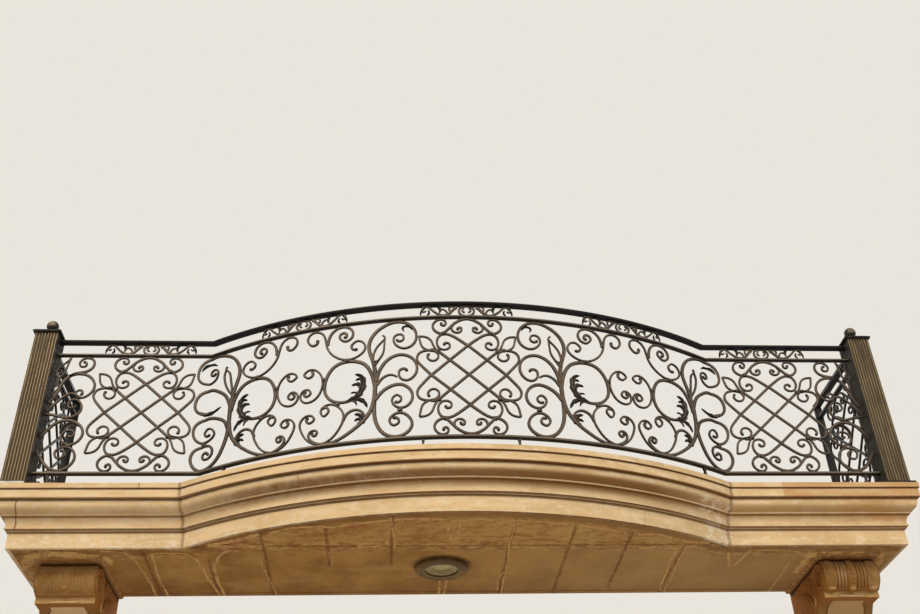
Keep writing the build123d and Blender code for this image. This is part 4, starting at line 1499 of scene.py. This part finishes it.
@dataclass
class Rails:
    """Handrail, upper rail and bottom rail round the front, with hammered edges."""

    line: RailLine
    iron: bpy.types.Material
    hand_iron: bpy.types.Material
    hand: RailSize = RailSize(0.045, 0.018, 0.900, True)
    upper: RailSize = RailSize(0.030, 0.012, 0.812)
    bottom: RailSize = RailSize(0.030, 0.015, 0.068)
    slot: str = "rail_iron"
    station: float = 0.025
    straight_stations: int = 30
    lift: float = 0.029
    foot_from_post: float = 0.085
    foot_half: float = 0.008

    def run(self, name: str, size: RailSize, part: str, feet: tuple[float, ...] = ()) -> None:
        """Sweep one length of rail.

        Args:
            name: The rail, as its nodes name it.
            size: Its section and height.
            part: bow, left or right.
            feet: Places of the small feet under it along the rail line, in metres.
        """
        shape, rub_and_shade = size.profile()
        work = MeshWork()
        out = shape[:, 0]
        level = self.line.zero_z + size.centre_v + shape[:, 1]
        kink = np.array([self.line.kink_x(step) for step in out])
        mitre = np.stack([kink, self.line.line_y - out, level], axis=1)
        if part == "bow":
            rings = [mitre * np.array([-1.0, 1.0, 1.0])]
            count = int(2 * self.line.half_arc / self.station)
            for u in np.linspace(-self.line.half_arc, self.line.half_arc, count + 1)[1:-1]:
                along = np.full(len(out), u)
                rings.append(self.line.place(along, size.centre_v + shape[:, 1], out))
            rings.append(mitre)
        else:
            flip = np.array([1.0 if part == "right" else -1.0, 1.0, 1.0])
            rings = [mitre * flip]
            start, end = self.line.bow_half_chord, self.line.post_inner_x
            for x in np.linspace(start, end, self.straight_stations)[1:]:
                ring = np.stack([np.full(len(out), x), self.line.line_y - out, level], axis=1)
                rings.append(ring * flip)
        work.rings(rings, rub_and_shade)
        low = min(shape[:, 1]) + size.centre_v
        for u in feet:
            self.foot(work, u, low + self.lift)
        iron = self.hand_iron if size is self.hand else self.iron
        node = name + "_" + part
        work.build(node + "_iron", iron, self.slot, (node,))

    def foot(self, work: MeshWork, u: float, height: float) -> None:
        """Add a small turned foot between slab and bottom rail.

        Args:
            work: The piece being made.
            u: Its place along the rail line.
            height: Its height.
        """
        rings = []
        for share, swell in ((0.0, 1.0), (0.12, 1.0), (0.22, 0.68), (0.5, 0.9), (0.78, 0.68),
                             (0.88, 1.0), (1.0, 1.0)):
            reach = self.foot_half * swell
            along = np.array([u - reach, u + reach, u + reach, u - reach])
            out = np.array([reach, reach, -reach, -reach])
            rings.append(self.line.place(along, np.full(4, share * height - self.lift), out))
        work.rings(rings, [0.6, 0.6, 0.2, 0.2])

    def build(self, scrolls: ScrollWork) -> None:
        """Make the nine rail lengths of the front.

        Args:
            scrolls: The filling, whose stems stand over the feet.
        """
        half_stem = scrolls.centre_stem / 2 * MM
        kink = scrolls.kink_stem * MM
        end = scrolls.post_face * MM - self.foot_from_post
        feet = {"bow": (-kink, -half_stem, half_stem, kink), "left": (-end,), "right": (end,)}
        sizes = {"handrail": self.hand, "upper_rail": self.upper, "bottom_rail": self.bottom}
        for name, size in sizes.items():
            for part, places in feet.items():
                self.run(name, size, part, places if size is self.bottom else ())


@dataclass
class SaltLines:
    """Raised crusts of salt and mortar along the joints of the slab's underside."""

    level: float
    lamp_x: float
    crust: bpy.types.Material
    slot: str = "slab_stone"
    wall_y: float = -8.0
    half: float = 0.0072
    drop: float = 0.0030
    buried: float = 0.0006
    drift: float = 0.0018
    step: float = 0.012
    rounding: int = 6
    seed: int = 7

    def lines(self) -> list[tuple[float, tuple[Point, ...]]]:
        """Plan of each crust, from left to right.

        Returns:
            Relative width, and points in millimetres, of each crust.
        """
        wall = self.wall_y
        lamp = self.lamp_x / MM
        return [
            (1.0, ((-1714, wall), (-1713, -281), (-1727, -500), (-1770, -606))),
            (0.9, ((-1889, -642), (-1800, -630), (-1745, -590), (-1725, -549))),
            (1.1, ((-1646, wall), (-1641, -315), (-1640, -554), (-1632, -612))),
            (0.9, ((-1634, -604), (-1515, -618), (-1466, -602))),
            (1.2, ((-1356, wall), (-1390, -311), (-1407, -520), (-1466, -602))),
            (1.3, ((-1335, wall), (-1337, -239), (-1332, -449), (-1307, -550), (-1258, -634),
                   (-1187, -633))),
            (2.4, ((-1335, -712), (-1240, -749), (-1145, -797), (-1060, -846))),
            (1.6, ((-1337, -693), (-1202, -685), (-1064, -696))),
            (1.4, ((-1010, -857), (-906, -917), (-757, -939), (-709, -915))),
            (1.4, ((-709, -915), (-569, -961), (-411, -1007))),
            (0.9, ((-407, -1042), (-401, -888), (-389, -662))),
            (1.6, ((-392, -1007), (-215, -1024), (-125, -1005))),
            (1.1, ((-125, -1005), (-109, -885), (-88, -700))),
            (1.2, ((-60, -993), (-70, -824), (-71, -748))),
            (0.9, ((lamp, wall), (lamp, -250))),
            (0.8, ((lamp + 34, wall), (lamp + 34, -250))),
            (1.3, ((-60, -993), (-17, -1016), (213, -1002), (451, -953), (556, -928), (697, -878),
                   (797, -840))),
            (1.4, ((864, -814), (977, -826), (1102, -736), (1268, -708))),
            (0.8, ((208, -1002), (218, -694), (219, -355), (228, wall))),
            (0.7, ((220, -341), (189, -255), (201, -60))),
            (1.1, ((1112, -644), (1112, -398), (1144, -41))),
            (0.7, ((1165, -670), (1160, -454), (1172, wall))),
            (1.5, ((900, -640), (1000, -655), (1112, -644))),
            (1.5, ((-580, -690), (-500, -680), (-435, -714), (-420, -752))),
            (1.4, ((-560, -710), (-490, -725), (-435, -714))),
            (1.3, ((1397, -587), (1435, -470), (1471, -371), (1490, -480), (1515, -613))),
            (0.8, ((1515, -613), (1650, -608), (1789, -596), (1789, -330), (1789, wall))),
            (0.9, ((1822, -527), (1850, -565), (1904, -581))),
            (0.6, ((-1091, -513), (-1068, -160), (-1041, wall))),
            (0.6, ((-726, -615), (-717, -440))),
            (5.2, ((-2310, -260), (-2296, -450), (-2266, -545), (-2226, -590), (-2160, -606),
                   (-2090, -600), (-2020, -588), (-1970, -575))),
            (3.2, ((-1882, -470), (-1884, -555), (-1930, -580), (-1985, -578))),
            (4.0, ((1868, -300), (1864, -460), (1872, -540), (1910, -566), (2010, -568), (2126, -564),
                   (2210, -556), (2262, -510), (2286, -400))),
        ]

    def build(self) -> None:
        """Make all crusts as one joined mesh."""
        work = MeshWork()
        chance = np.random.RandomState(self.seed)
        for width, plan in self.lines():
            path = np.array(plan, float) * MM
            run = np.linalg.norm(np.diff(path, axis=0), axis=1)
            own = np.concatenate([[0], np.cumsum(run)])
            count = max(6, int(own[-1] / self.step))
            fine = np.linspace(0, own[-1], count)
            centre = np.stack([np.interp(fine, own, path[:, k]) for k in (0, 1)], axis=1)
            for _ in range(self.rounding):
                centre[1:-1] = (centre[:-2] + 2 * centre[1:-1] + centre[2:]) / 4
            drift = np.cumsum(chance.normal(0.0, self.drift, centre.shape), axis=0)
            drift -= np.linspace(0, 1, count)[:, None] * drift[-1]
            centre += drift
            steps = np.gradient(centre, axis=0)
            steps /= np.linalg.norm(steps, axis=1)[:, None]
            normal = np.stack([-steps[:, 1], steps[:, 0]], axis=1)
            swell = 0.7 + 0.5 * chance.random_sample(count)
            rings = []
            for spot, side, wide in zip(centre, normal, swell):
                half = self.half * width * wide
                low = self.level - self.drop * max(min(1.0, wide * width), width * wide - 1.0)
                edge = self.level + self.buried
                rings.append(np.array([
                    [*(spot + side * half * share), height]
                    for share, height in ((1.0, edge), (0.4, low), (-0.4, low), (-1.0, edge))
                ]))
            work.rings(rings, [0.5] * 4)
        work.build("salt_lines", self.crust, self.slot, smooth=60.0)


@dataclass
class ConsoleFace:
    """Side face of a console as a drawing board: depth from the wall, then height."""

    face_x: float
    outward: float
    top: float

    def place(self, u: np.ndarray, v: np.ndarray, out: np.ndarray) -> np.ndarray:
        """Put drawing points into space."""
        return np.stack([self.face_x + self.outward * out, -u, self.top + v], axis=1)


@dataclass
class ConsoleCarving:
    """Reeds, beaded rib, boss and side volutes carved on one console."""

    side: float
    centre_x: float
    top: float
    stone: bpy.types.Material
    cut: float
    boss: bool
    slot: str = "console_stone"
    half: float = 0.150
    axis_depth: float = 0.4535
    roll_radius: float = 0.0915
    cap_height: float = 0.014
    roll_height: float = 0.166
    panel_half: float = 0.100
    panel_top: float = -0.363
    panel_height: float = 0.440
    panel_corner: float = 0.040
    panel_edge: float = 0.012
    feel_beside: float = 0.012
    feel_from: float = -1.4
    reeds: int = 3
    reed_pitch: float = 0.018
    reed_proud: float = 0.008
    first_reed: float = 0.036
    rib_half: float = 0.022
    rib_proud: float = 0.018
    lobe_x: float = 0.114
    lobe_half: float = 0.031
    lobe_proud: float = 0.016
    start: float = 1.02
    end: float = -1.05
    bead_turns: tuple[float, ...] = (0.1, -0.12, -0.34, -0.56, -0.78)
    boss_turn: float = -0.62
    round_sides: int = 12

    def __post_init__(self) -> None:
        """Work out where the console's middle and the roll's axis lie."""
        self.middle_x = self.side * self.centre_x
        self.axis_z = self.top - self.cap_height - self.roll_height / 2

    def on_roll(self, x: np.ndarray, turn: float, proud: np.ndarray) -> np.ndarray:
        """Points on the roll, or standing proud of it.

        Args:
            x: Places across the console.
            turn: Angle over the roll's level front, in radians.
            proud: How far each point stands out.

        Returns:
            One row for each point.
        """
        radius = self.roll_radius + proud
        depth = self.axis_depth + radius * math.cos(turn)
        height = self.axis_z + radius * math.sin(turn)
        return np.stack([self.middle_x + x, -depth, height], axis=1)

    def reed(self, work: MeshWork, x: float, half: float, proud: float, end: float) -> None:
        """Add one rounded reed down the roll.

        Args:
            work: The piece being made.
            x: Its place across the console.
            half: Its half width.
            proud: How far its crown stands out.
            end: Angle in radians where it ends.
        """
        across = np.linspace(-1, 1, 9)
        under = across[-2:0:-1]
        rings = []
        for share in np.linspace(0, 1, 18):
            turn = self.start + (end - self.start) * share
            slim = min(1.0, 3.2 * math.sqrt(max(0.0, share * (1.06 - share))))
            curl = math.exp(-((share - 0.88) / 0.09) ** 2)
            crown = proud * (0.75 * slim + 0.45 * curl)
            rise = np.sqrt(np.maximum(0.0, 1 - across ** 2)) * crown - 0.002
            ring = self.on_roll(x + across * half * slim, turn, rise)
            back = self.on_roll(x + under * half * slim, turn, np.full(len(under), -0.006))
            rings.append(np.concatenate([ring, back]))
        work.rings(rings, [0.5] * len(rings[0]))

    def bead(self, work: MeshWork, turn: float, radius: float, proud: float) -> None:
        """Add one round bead on the rib.

        Args:
            work: The piece being made.
            turn: Angle in radians over the roll's level front.
            radius: Its radius.
            proud: How far its foot stands out from the roll.
        """
        middle = self.on_roll(np.array([0.0]), turn, np.array([proud]))[0]
        out = np.array([0.0, -math.cos(turn), math.sin(turn)])
        up = np.array([0.0, math.sin(turn), math.cos(turn)])
        angle = np.linspace(0, 2 * math.pi, self.round_sides, endpoint=False)
        rings = []
        for lean in np.linspace(0.0, 1.45, 5):
            flat = radius * math.cos(lean)
            rings.append(
                middle + out * radius * math.sin(lean)
                + np.outer(np.cos(angle), [flat, 0.0, 0.0]) + np.outer(np.sin(angle), up * flat)
            )
        work.rings(rings, [0.5] * self.round_sides)

    def front(self, work: MeshWork) -> None:
        """Carve the roll's front.

        Args:
            work: The piece being made.
        """
        for outward in (-1.0, 1.0):
            for i in range(self.reeds):
                x = outward * (self.first_reed + i * self.reed_pitch)
                self.reed(work, x, self.reed_pitch * 0.45, self.reed_proud * self.cut, self.end)
            self.reed(work, outward * self.lobe_x, self.lobe_half, self.lobe_proud * self.cut,
                      self.end - 0.16)
        self.reed(work, 0.0, self.rib_half, self.rib_proud * self.cut, self.end - 0.18)
        if self.boss:
            self.bead(work, self.boss_turn, 0.013, 0.001)
            self.bead(work, self.boss_turn, 0.006, 0.011)
            return
        for turn in self.bead_turns:
            self.bead(work, turn, 0.0075, 0.013)

    def volutes(self, work: MeshWork) -> None:
        """Carve the band, its two volutes and the leaves on both side faces.

        Args:
            work: The piece being made.
        """
        strokes = [
            Stroke(((118, -565), (164, -470), (220, -380), (286, -290), (334, -215), (362, -140),
                    (386, -70), (430, -34), (482, -36), (520, -74), (522, -118), (494, -152), (454, -156),
                    (424, -130), (422, -96)), 17, 13, depth=20.0),
            Stroke(((136, -522), (98, -562), (66, -602), (56, -640), (76, -656)), 15, 11, depth=18.0),
            leaf(((352, -150), (330, -90), (280, -50), (232, -34)), 52, 20.0),
            leaf(((318, -235), (286, -170), (236, -120), (180, -96)), 50, 20.0),
            leaf(((252, -335), (222, -268), (176, -214), (118, -184)), 50, 18.0),
            leaf(((184, -440), (158, -376), (116, -322), (64, -296)), 46, 16.0),
            Stroke(((470, -98), (486, -92)), 20, 18, depth=22.0),
        ]
        for outward in (-1.0, 1.0):
            face = ConsoleFace(self.middle_x + outward * self.half, outward, self.top)
            forge = Forge(face, plump=1.0)
            for stroke in strokes:
                forge.bend(work, stroke)

    def pillow(self, work: MeshWork, body: bpy.types.Object) -> None:
        """Lay the raised panel with round corners over the console's front.

        Args:
            work: The piece being made.
            body: The console, whose front face is felt for.
        """
        half_outline = [(-1.0, -0.008), (-1.0, 0.001), (-0.97, 0.0045), (-0.9, 0.0065), (-0.5, 0.0075)]
        mirrored = [(-x, out) for x, out in reversed(half_outline)]
        outline = [*half_outline, (0.0, 0.008), *mirrored]
        rings = []
        feel_x = self.middle_x + self.panel_half + self.feel_beside
        ends = np.linspace(0, 0.1, 9)
        for share in np.concatenate([ends, np.linspace(0.12, 0.88, 24), 1 - ends[::-1]]):
            z = self.panel_top - share * self.panel_height
            start = Vector((feel_x, self.feel_from, z))
            hit, spot, _, _ = body.ray_cast(start, Vector((0.0, 1.0, 0.0)))
            if not hit:
                continue
            from_end = min(share, 1 - share) * self.panel_height
            short = self.panel_corner - min(self.panel_corner, from_end)
            rounded = math.sqrt(max(0.0, self.panel_corner ** 2 - short ** 2))
            half = self.panel_half - self.panel_corner + rounded
            proud = min(1.0, 0.35 + from_end / self.panel_edge)
            rings.append(np.array([
                [self.middle_x + x * half, spot[1] - max(out * proud, out), z] for x, out in outline
            ]))
        work.rings(rings, [0.5] * len(outline))

    def build(self, name: str, body: bpy.types.Object, pale: bpy.types.Material) -> None:
        """Carve the console.

        Args:
            name: Left or right.
            body: The console itself.
            pale: Stone of the raised panel.
        """
        panel = MeshWork()
        self.pillow(panel, body)
        panel.build("panel_" + name, pale, self.slot)
        work = MeshWork()
        self.front(work)
        self.volutes(work)
        work.build("carving_" + name, self.stone, self.slot)


@dataclass
class PostPlate:
    """Thin bedding plate under a post, its rough edge showing over the stone's brink."""

    start_x: float
    end_x: float
    stone_front: float
    stone_top: float
    finish: bpy.types.Material
    slot: str = "post_iron"
    setback: float = 0.002
    back_y: float = -0.62
    gap: float = 0.0005
    height: float = 0.013
    uneven_front: float = 0.002
    uneven_top: float = 0.0015
    steps: int = 14
    bevel: float = 0.0015
    seed: int = 3

    def build(self, name: str) -> None:
        """Make the plate with a slightly uneven front edge.

        Args:
            name: Left or right.
        """
        chance = np.random.RandomState(self.seed)
        work = MeshWork()
        low = self.stone_top + self.gap
        rings = []
        for share in np.linspace(0, 1, self.steps):
            x = self.start_x + (self.end_x - self.start_x) * share
            front = self.stone_front + self.setback + chance.uniform(0.0, self.uneven_front)
            top = self.stone_top + self.height - chance.uniform(0.0, self.uneven_top)
            rings.append(np.array([
                [x, front, low], [x, front, top - self.bevel], [x, front + self.bevel, top],
                [x, self.back_y, top], [x, self.back_y, low],
            ]))
        work.rings(rings, [0.6, 0.6, 1.0, 0.6, 0.6])
        work.build("post_plate_" + name, self.finish, self.slot)


@dataclass
class LampDish:
    """Pressed glass dish of the lamp, with rounded rings stepping up to a flat middle."""

    centre_x: float
    centre_y: float
    level: float
    glass: bpy.types.Material
    slot: str = "lamp_glass"
    rim: float = 0.0875
    middle: float = 0.052
    rings: int = 4
    rim_low: float = -0.013
    middle_low: float = -0.001
    back: float = 0.010
    hole: float = 0.004
    bulge: float = 0.0032
    slope: float = 0.002
    sides: int = 72

    def profile(self) -> list[Point]:
        """Half section from the rim inwards.

        Returns:
            Radius, and height over the underside, of each point.
        """
        points = [(self.rim, self.back), (self.rim, self.rim_low)]
        pitch = (self.rim - self.middle) / self.rings
        for i in range(self.rings):
            low = self.rim_low + (self.middle_low - self.rim_low) * i / self.rings
            start = self.rim - i * pitch
            for share in (0.12, 0.3, 0.5, 0.7, 0.88):
                bulge = self.bulge * math.sin(math.pi * share)
                points.append((start - pitch * share, low - bulge + self.slope * share))
        points += [(self.middle, self.middle_low), (self.middle * 0.6, self.middle_low - 0.001),
                   (self.hole, self.middle_low - 0.0015), (self.hole, self.back)]
        return points

    def build(self) -> None:
        """Turn the dish."""
        work = MeshWork()
        rings = []
        for turn in np.linspace(0, 2 * math.pi, self.sides, endpoint=False):
            rings.append(np.array([
                [self.centre_x + r * math.cos(turn), self.centre_y + r * math.sin(turn),
                 self.level + z]
                for r, z in self.profile()
            ]))
        work.rings(rings, [0.5] * len(rings[0]), closed=True)
        work.build("lamp_dish", self.glass, self.slot, ("soffit_lamp_glass",), 40.0)


@dataclass(frozen=True)
class SoftLamp:
    """One soft square lamp of the studio."""

    name: str
    place: Triple
    aim: Triple
    size: float
    power: float
    colour: Triple

    def hang(self) -> None:
        """Add the lamp to the scene."""
        data = bpy.data.lights.new(self.name, "AREA")
        data.shape = "SQUARE"
        data.size = self.size
        data.energy = self.power
        data.color = self.colour
        lamp = bpy.data.objects.new(self.name, data)
        lamp.location = self.place
        aim = Vector(self.aim) - Vector(self.place)
        lamp.rotation_euler = aim.to_track_quat("-Z", "Y").to_euler()
        bpy.context.scene.collection.objects.link(lamp)


@dataclass
class Studio:
    """Pale floor, backdrop, soft lights and the camera at the photograph's angle."""

    zero_z: float
    line_y: float
    focal_pixels: float = 1072.47
    photo_width: float = 920.0
    sensor_width: float = 36.0
    clip_end: float = 200.0
    yaw: float = 4.598
    pitch: float = 35.599
    roll: float = -2.118
    stand: Triple = (-0.422, -5.231, -2.578)
    floor_half: float = 30.0
    floor_drop: float = 4.6
    floor_glow: float = 0.65
    floor_tone: Colour = (0.78, 0.77, 0.75, 1.0)
    backdrop: Colour = tone(234, 229, 220)
    sky: Colour = (0.90, 0.94, 1.0, 1.0)
    sky_strength: float = 0.38
    lamps: tuple[SoftLamp, ...] = (
        SoftLamp("key", (-3.5, -6.5, 6.0), (0.0, -0.8, 0.2), 5.0, 700.0, (1.0, 0.96, 0.9)),
        SoftLamp("fill", (5.5, -6.0, 2.5), (0.0, -0.8, 0.2), 4.0, 200.0, (0.95, 0.97, 1.0)),
        SoftLamp("back", (0.0, 4.5, 4.5), (0.0, -0.5, 0.2), 4.0, 260.0, (1.0, 0.98, 0.95)),
        SoftLamp("ground", (0.0, -3.0, -5.5), (0.0, -0.6, 0.0), 5.0, 75.0, (1.0, 0.98, 0.95)),
    )

    def camera(self) -> None:
        """Set the camera where the photograph was taken."""
        data = bpy.data.cameras.new("camera")
        data.sensor_width = self.sensor_width
        data.sensor_fit = "HORIZONTAL"
        data.lens = self.focal_pixels / self.photo_width * data.sensor_width
        data.clip_end = self.clip_end
        camera = bpy.data.objects.new("camera", data)
        bpy.context.scene.collection.objects.link(camera)
        x, y, z = self.stand
        camera.location = (x, y + self.line_y, z + self.zero_z)
        turn = Euler((math.radians(90 + self.pitch), 0.0, math.radians(-self.yaw)), "XYZ")
        lean = Euler((0.0, 0.0, math.radians(self.roll)), "XYZ")
        camera.rotation_mode = "QUATERNION"
        camera.rotation_quaternion = turn.to_quaternion() @ lean.to_quaternion()
        bpy.context.scene.camera = camera

    def floor(self) -> None:
        """Lay the pale floor well below the camera, glowing a little where it is seen."""
        tree = MaterialTree("pale_floor")
        sockets = {"Base Color": self.floor_tone, "Roughness": 0.9}
        lit = tree.add("ShaderNodeBsdfPrincipled", {}, sockets)
        glow = tree.add("ShaderNodeEmission", {}, {"Color": self.backdrop, "Strength": 1.0})
        share = tree.seen() * self.floor_glow
        shader = tree.add("ShaderNodeMixShader", {}, {0: share, 1: lit, 2: glow})
        tree.add("ShaderNodeOutputMaterial", {}, {0: shader})
        level = self.stand[2] + self.zero_z - self.floor_drop
        mesh = bpy.data.meshes.new("floor")
        half = self.floor_half
        corners = [(x, y, level) for x, y in ((-half, -half), (half, -half), (half, half), (-half, half))]
        mesh.from_pydata(corners, [], [(0, 1, 2, 3)])
        mesh.materials.append(tree.material)
        floor = bpy.data.objects.new("floor", mesh)
        bpy.context.scene.collection.objects.link(floor)

    def world(self) -> None:
        """Pale surround: plain where it is seen, softer and bluer as a light."""
        world = bpy.data.worlds.new("surround")
        bpy.context.scene.world = world
        world.use_nodes = True
        tree = Tree(world.node_tree)
        light = tree.add("ShaderNodeBackground", {}, {0: self.sky, 1: self.sky_strength})
        plain = tree.add("ShaderNodeBackground", {}, {0: self.backdrop, 1: 1.0})
        mixed = tree.add("ShaderNodeMixShader", {}, {0: tree.seen(), 1: light, 2: plain})
        tree.add("ShaderNodeOutputWorld", {}, {0: mixed})

    def build(self) -> None:
        """Set up the whole studio."""
        self.camera()
        self.floor()
        self.world()
        for lamp in self.lamps:
            lamp.hang()
        bpy.context.scene.view_settings.view_transform = "Standard"


def middle_of(name: str) -> Point:
    """Middle in plan of a node's box."""
    low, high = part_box(name)
    return (low.x + high.x) / 2, (low.y + high.y) / 2


@dataclass
class Balcony:
    """The whole balcony, sub-assembly by sub-assembly, over the loaded frame."""

    frame: dict
    sides: tuple[str, ...] = ("left", "right")
    stone_rise: float = 0.432
    stone_shift: float = -0.045
    console_x: float = 2.067
    flute_depth: float = 0.004

    def __post_init__(self) -> None:
        """Read the slab's heights and set out the lines of iron and stone."""
        low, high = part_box("floor_slab")
        self.bottom = low.z
        self.top = high.z
        self.line = RailLine(zero_z=self.top + Rails.lift)
        self.stone = RailLine(bow_rise=self.stone_rise, zero_z=self.top)

    def paint(self, names: list[str], material: bpy.types.Material) -> None:
        """Give carried-over nodes a finished material.

        Args:
            names: The nodes' names.
            material: The finished material.
        """
        for name in names:
            node = self.frame["nodes"][name]
            node.data.materials.clear()
            node.data.materials.append(material)
            log.info("%s: %s", name, material.name)

    def railing(self) -> None:
        """Build the filling of the front and the sides, then the rails."""
        iron = ForgedIron().material()
        rail_iron = ForgedIron("rail_iron", tone(32, 27, 22), tone(116, 101, 82), 0.8).material()
        hand_iron = ForgedIron("hand_iron", tone(13, 10, 8), tone(58, 47, 36), 0.4).material()
        scrolls = ScrollWork(self.line, iron)
        x, y = middle_of("side_lattice_right")
        scrolls.build({
            side: SideLine(sign, x, y, self.line.zero_z) for side, sign in (("right", 1.0), ("left", -1.0))
        })
        Rails(self.line, rail_iron, hand_iron).build(scrolls)

    def posts(self) -> None:
        """Dress the posts and the side rails, and bed the posts on their plates."""
        low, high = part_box("post_shaft_right")
        half = (high.x - low.x) / 2
        shaft = FlutedIron(*middle_of("post_shaft_right"), half, self.flute_depth).material()
        self.paint(["post_shaft_" + side for side in self.sides], shaft)
        plain = ForgedIron("post_iron", tone(22, 20, 17), tone(64, 56, 44), 0.5, 0.5).material()
        kinds = ("post_base", "post_cap", "side_rails")
        self.paint([kind + "_" + side for kind in kinds for side in self.sides], plain)
        ball = ForgedIron("ball_iron", tone(40, 34, 28), tone(128, 112, 90), 0.8, 1.0).material()
        self.paint(["post_ball_" + side for side in self.sides], ball)
        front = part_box("cornice_right")[0].y
        mortar = SaltCrust("old_mortar", tone(150, 140, 122), tone(204, 198, 184)).material()
        PostPlate(2.285, 2.449, front, self.top, plain).build("right")
        PostPlate(-2.449, -2.30, front, self.top, mortar).build("left")

    def moulding(self) -> None:
        """Dress the moulded edge, with its grooves and joints by their depth below the top."""
        top = self.top
        stone = Limestone(
            "moulding_stone", tone(225, 191, 142), tone(208, 172, 122),
            grooves=tuple(top - depth for depth in (0.0315, 0.082, 0.159, 0.223, 0.233)),
            edges=(top - 0.1515,),
            joints=(
                Joint(-2.322, top - 0.218, top - 0.082),
                Joint(-1.711, top - 0.032, top + 0.002, 0.7),
                Joint(-0.82, top - 0.15, top - 0.086, 0.5),
                Joint(1.700, top - 0.082, top + 0.002, 0.3),
                Joint(0.95, top - 0.30, top - 0.24, 0.35),
            ),
            bow_centre_x=self.stone_shift,
            bow_centre_y=self.stone.centre_y,
            bow_radius=self.stone.radius,
            bow_half_chord=self.stone.bow_half_chord,
            rusty_from=2.05,
            browned_from=1.700,
            browned_over=top - 0.083,
            bloom_below=top - 0.236,
            bloom_until=-1.3,
        ).material()
        self.paint(["cornice_left", "cornice_bow", "cornice_right"], stone)

    def consoles(self) -> None:
        """Dress and carve the two consoles; the left one is worn and bears a boss."""
        stone = ConsoleStone(
            self.console_x,
            cap_low=self.bottom - ConsoleCarving.cap_height,
            panel_top=self.bottom - 0.205,
            half_panel=0.103,
            corner=0.045,
            roll_low=self.bottom - 0.175,
            reed_pitch=ConsoleCarving.reed_pitch,
        ).material()
        self.paint(["corbel_left", "corbel_right"], stone)
        pale = Limestone("panel_stone", tone(232, 190, 134), tone(208, 164, 106)).material()
        for side, name, cut, boss in ((-1.0, "left", 0.3, True), (1.0, "right", 1.0, False)):
            carving = ConsoleCarving(side, self.console_x, self.bottom, stone, cut, boss)
            carving.build(name, bpy.data.objects["corbel_" + name], pale)

    def underside(self) -> None:
        """Dress the slab and the lamp, and lay the crusts along the underside's joints."""
        lamp_x, lamp_y = middle_of("soffit_lamp_ring")
        soffit = SoffitStone(
            self.top, self.bottom, self.line.line_y, self.stone_shift, self.stone.centre_y,
            self.stone.radius,
            seams_into=((-1.68, -0.6, 0.0), (-1.36, -0.5, 0.0), (0.525, -0.93, 0.0),
                        (0.83, -0.83, -0.1), (-0.40, -1.04, -0.45), (0.212, -1.0, 0.0),
                        (1.14, -0.67, 0.0), (-0.73, -0.93, -0.45), (-1.06, -0.85, 0.0)),
            seams_across=((-0.69, -1.4, 1.2), (-0.045, -1.9, 1.9)),
            lamp_x=lamp_x,
            lamp_y=lamp_y,
        ).material()
        self.paint(["floor_slab"], soffit)
        SaltLines(self.bottom, lamp_x, SaltCrust().material()).build()
        self.paint(["soffit_lamp_ring"], LampMetal(lamp_x, lamp_y).material())
        LampDish(lamp_x, lamp_y, self.bottom, RibbedGlass(lamp_x, lamp_y).material()).build()

    def build(self) -> None:
        """Build and dress every sub-assembly, from the railing down."""
        self.railing()
        self.posts()
        self.moulding()
        self.consoles()
        self.underside()


def main() -> None:
    """Load the frame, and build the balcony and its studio."""
    logging.basicConfig(level=logging.INFO, format="%(name)s: %(message)s")
    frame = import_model()
    balcony = Balcony(frame)
    balcony.build()
    Studio(balcony.line.zero_z, balcony.line.line_y).build()
    log.info("all pieces are in place")


if __name__ == "__main__":
    main()
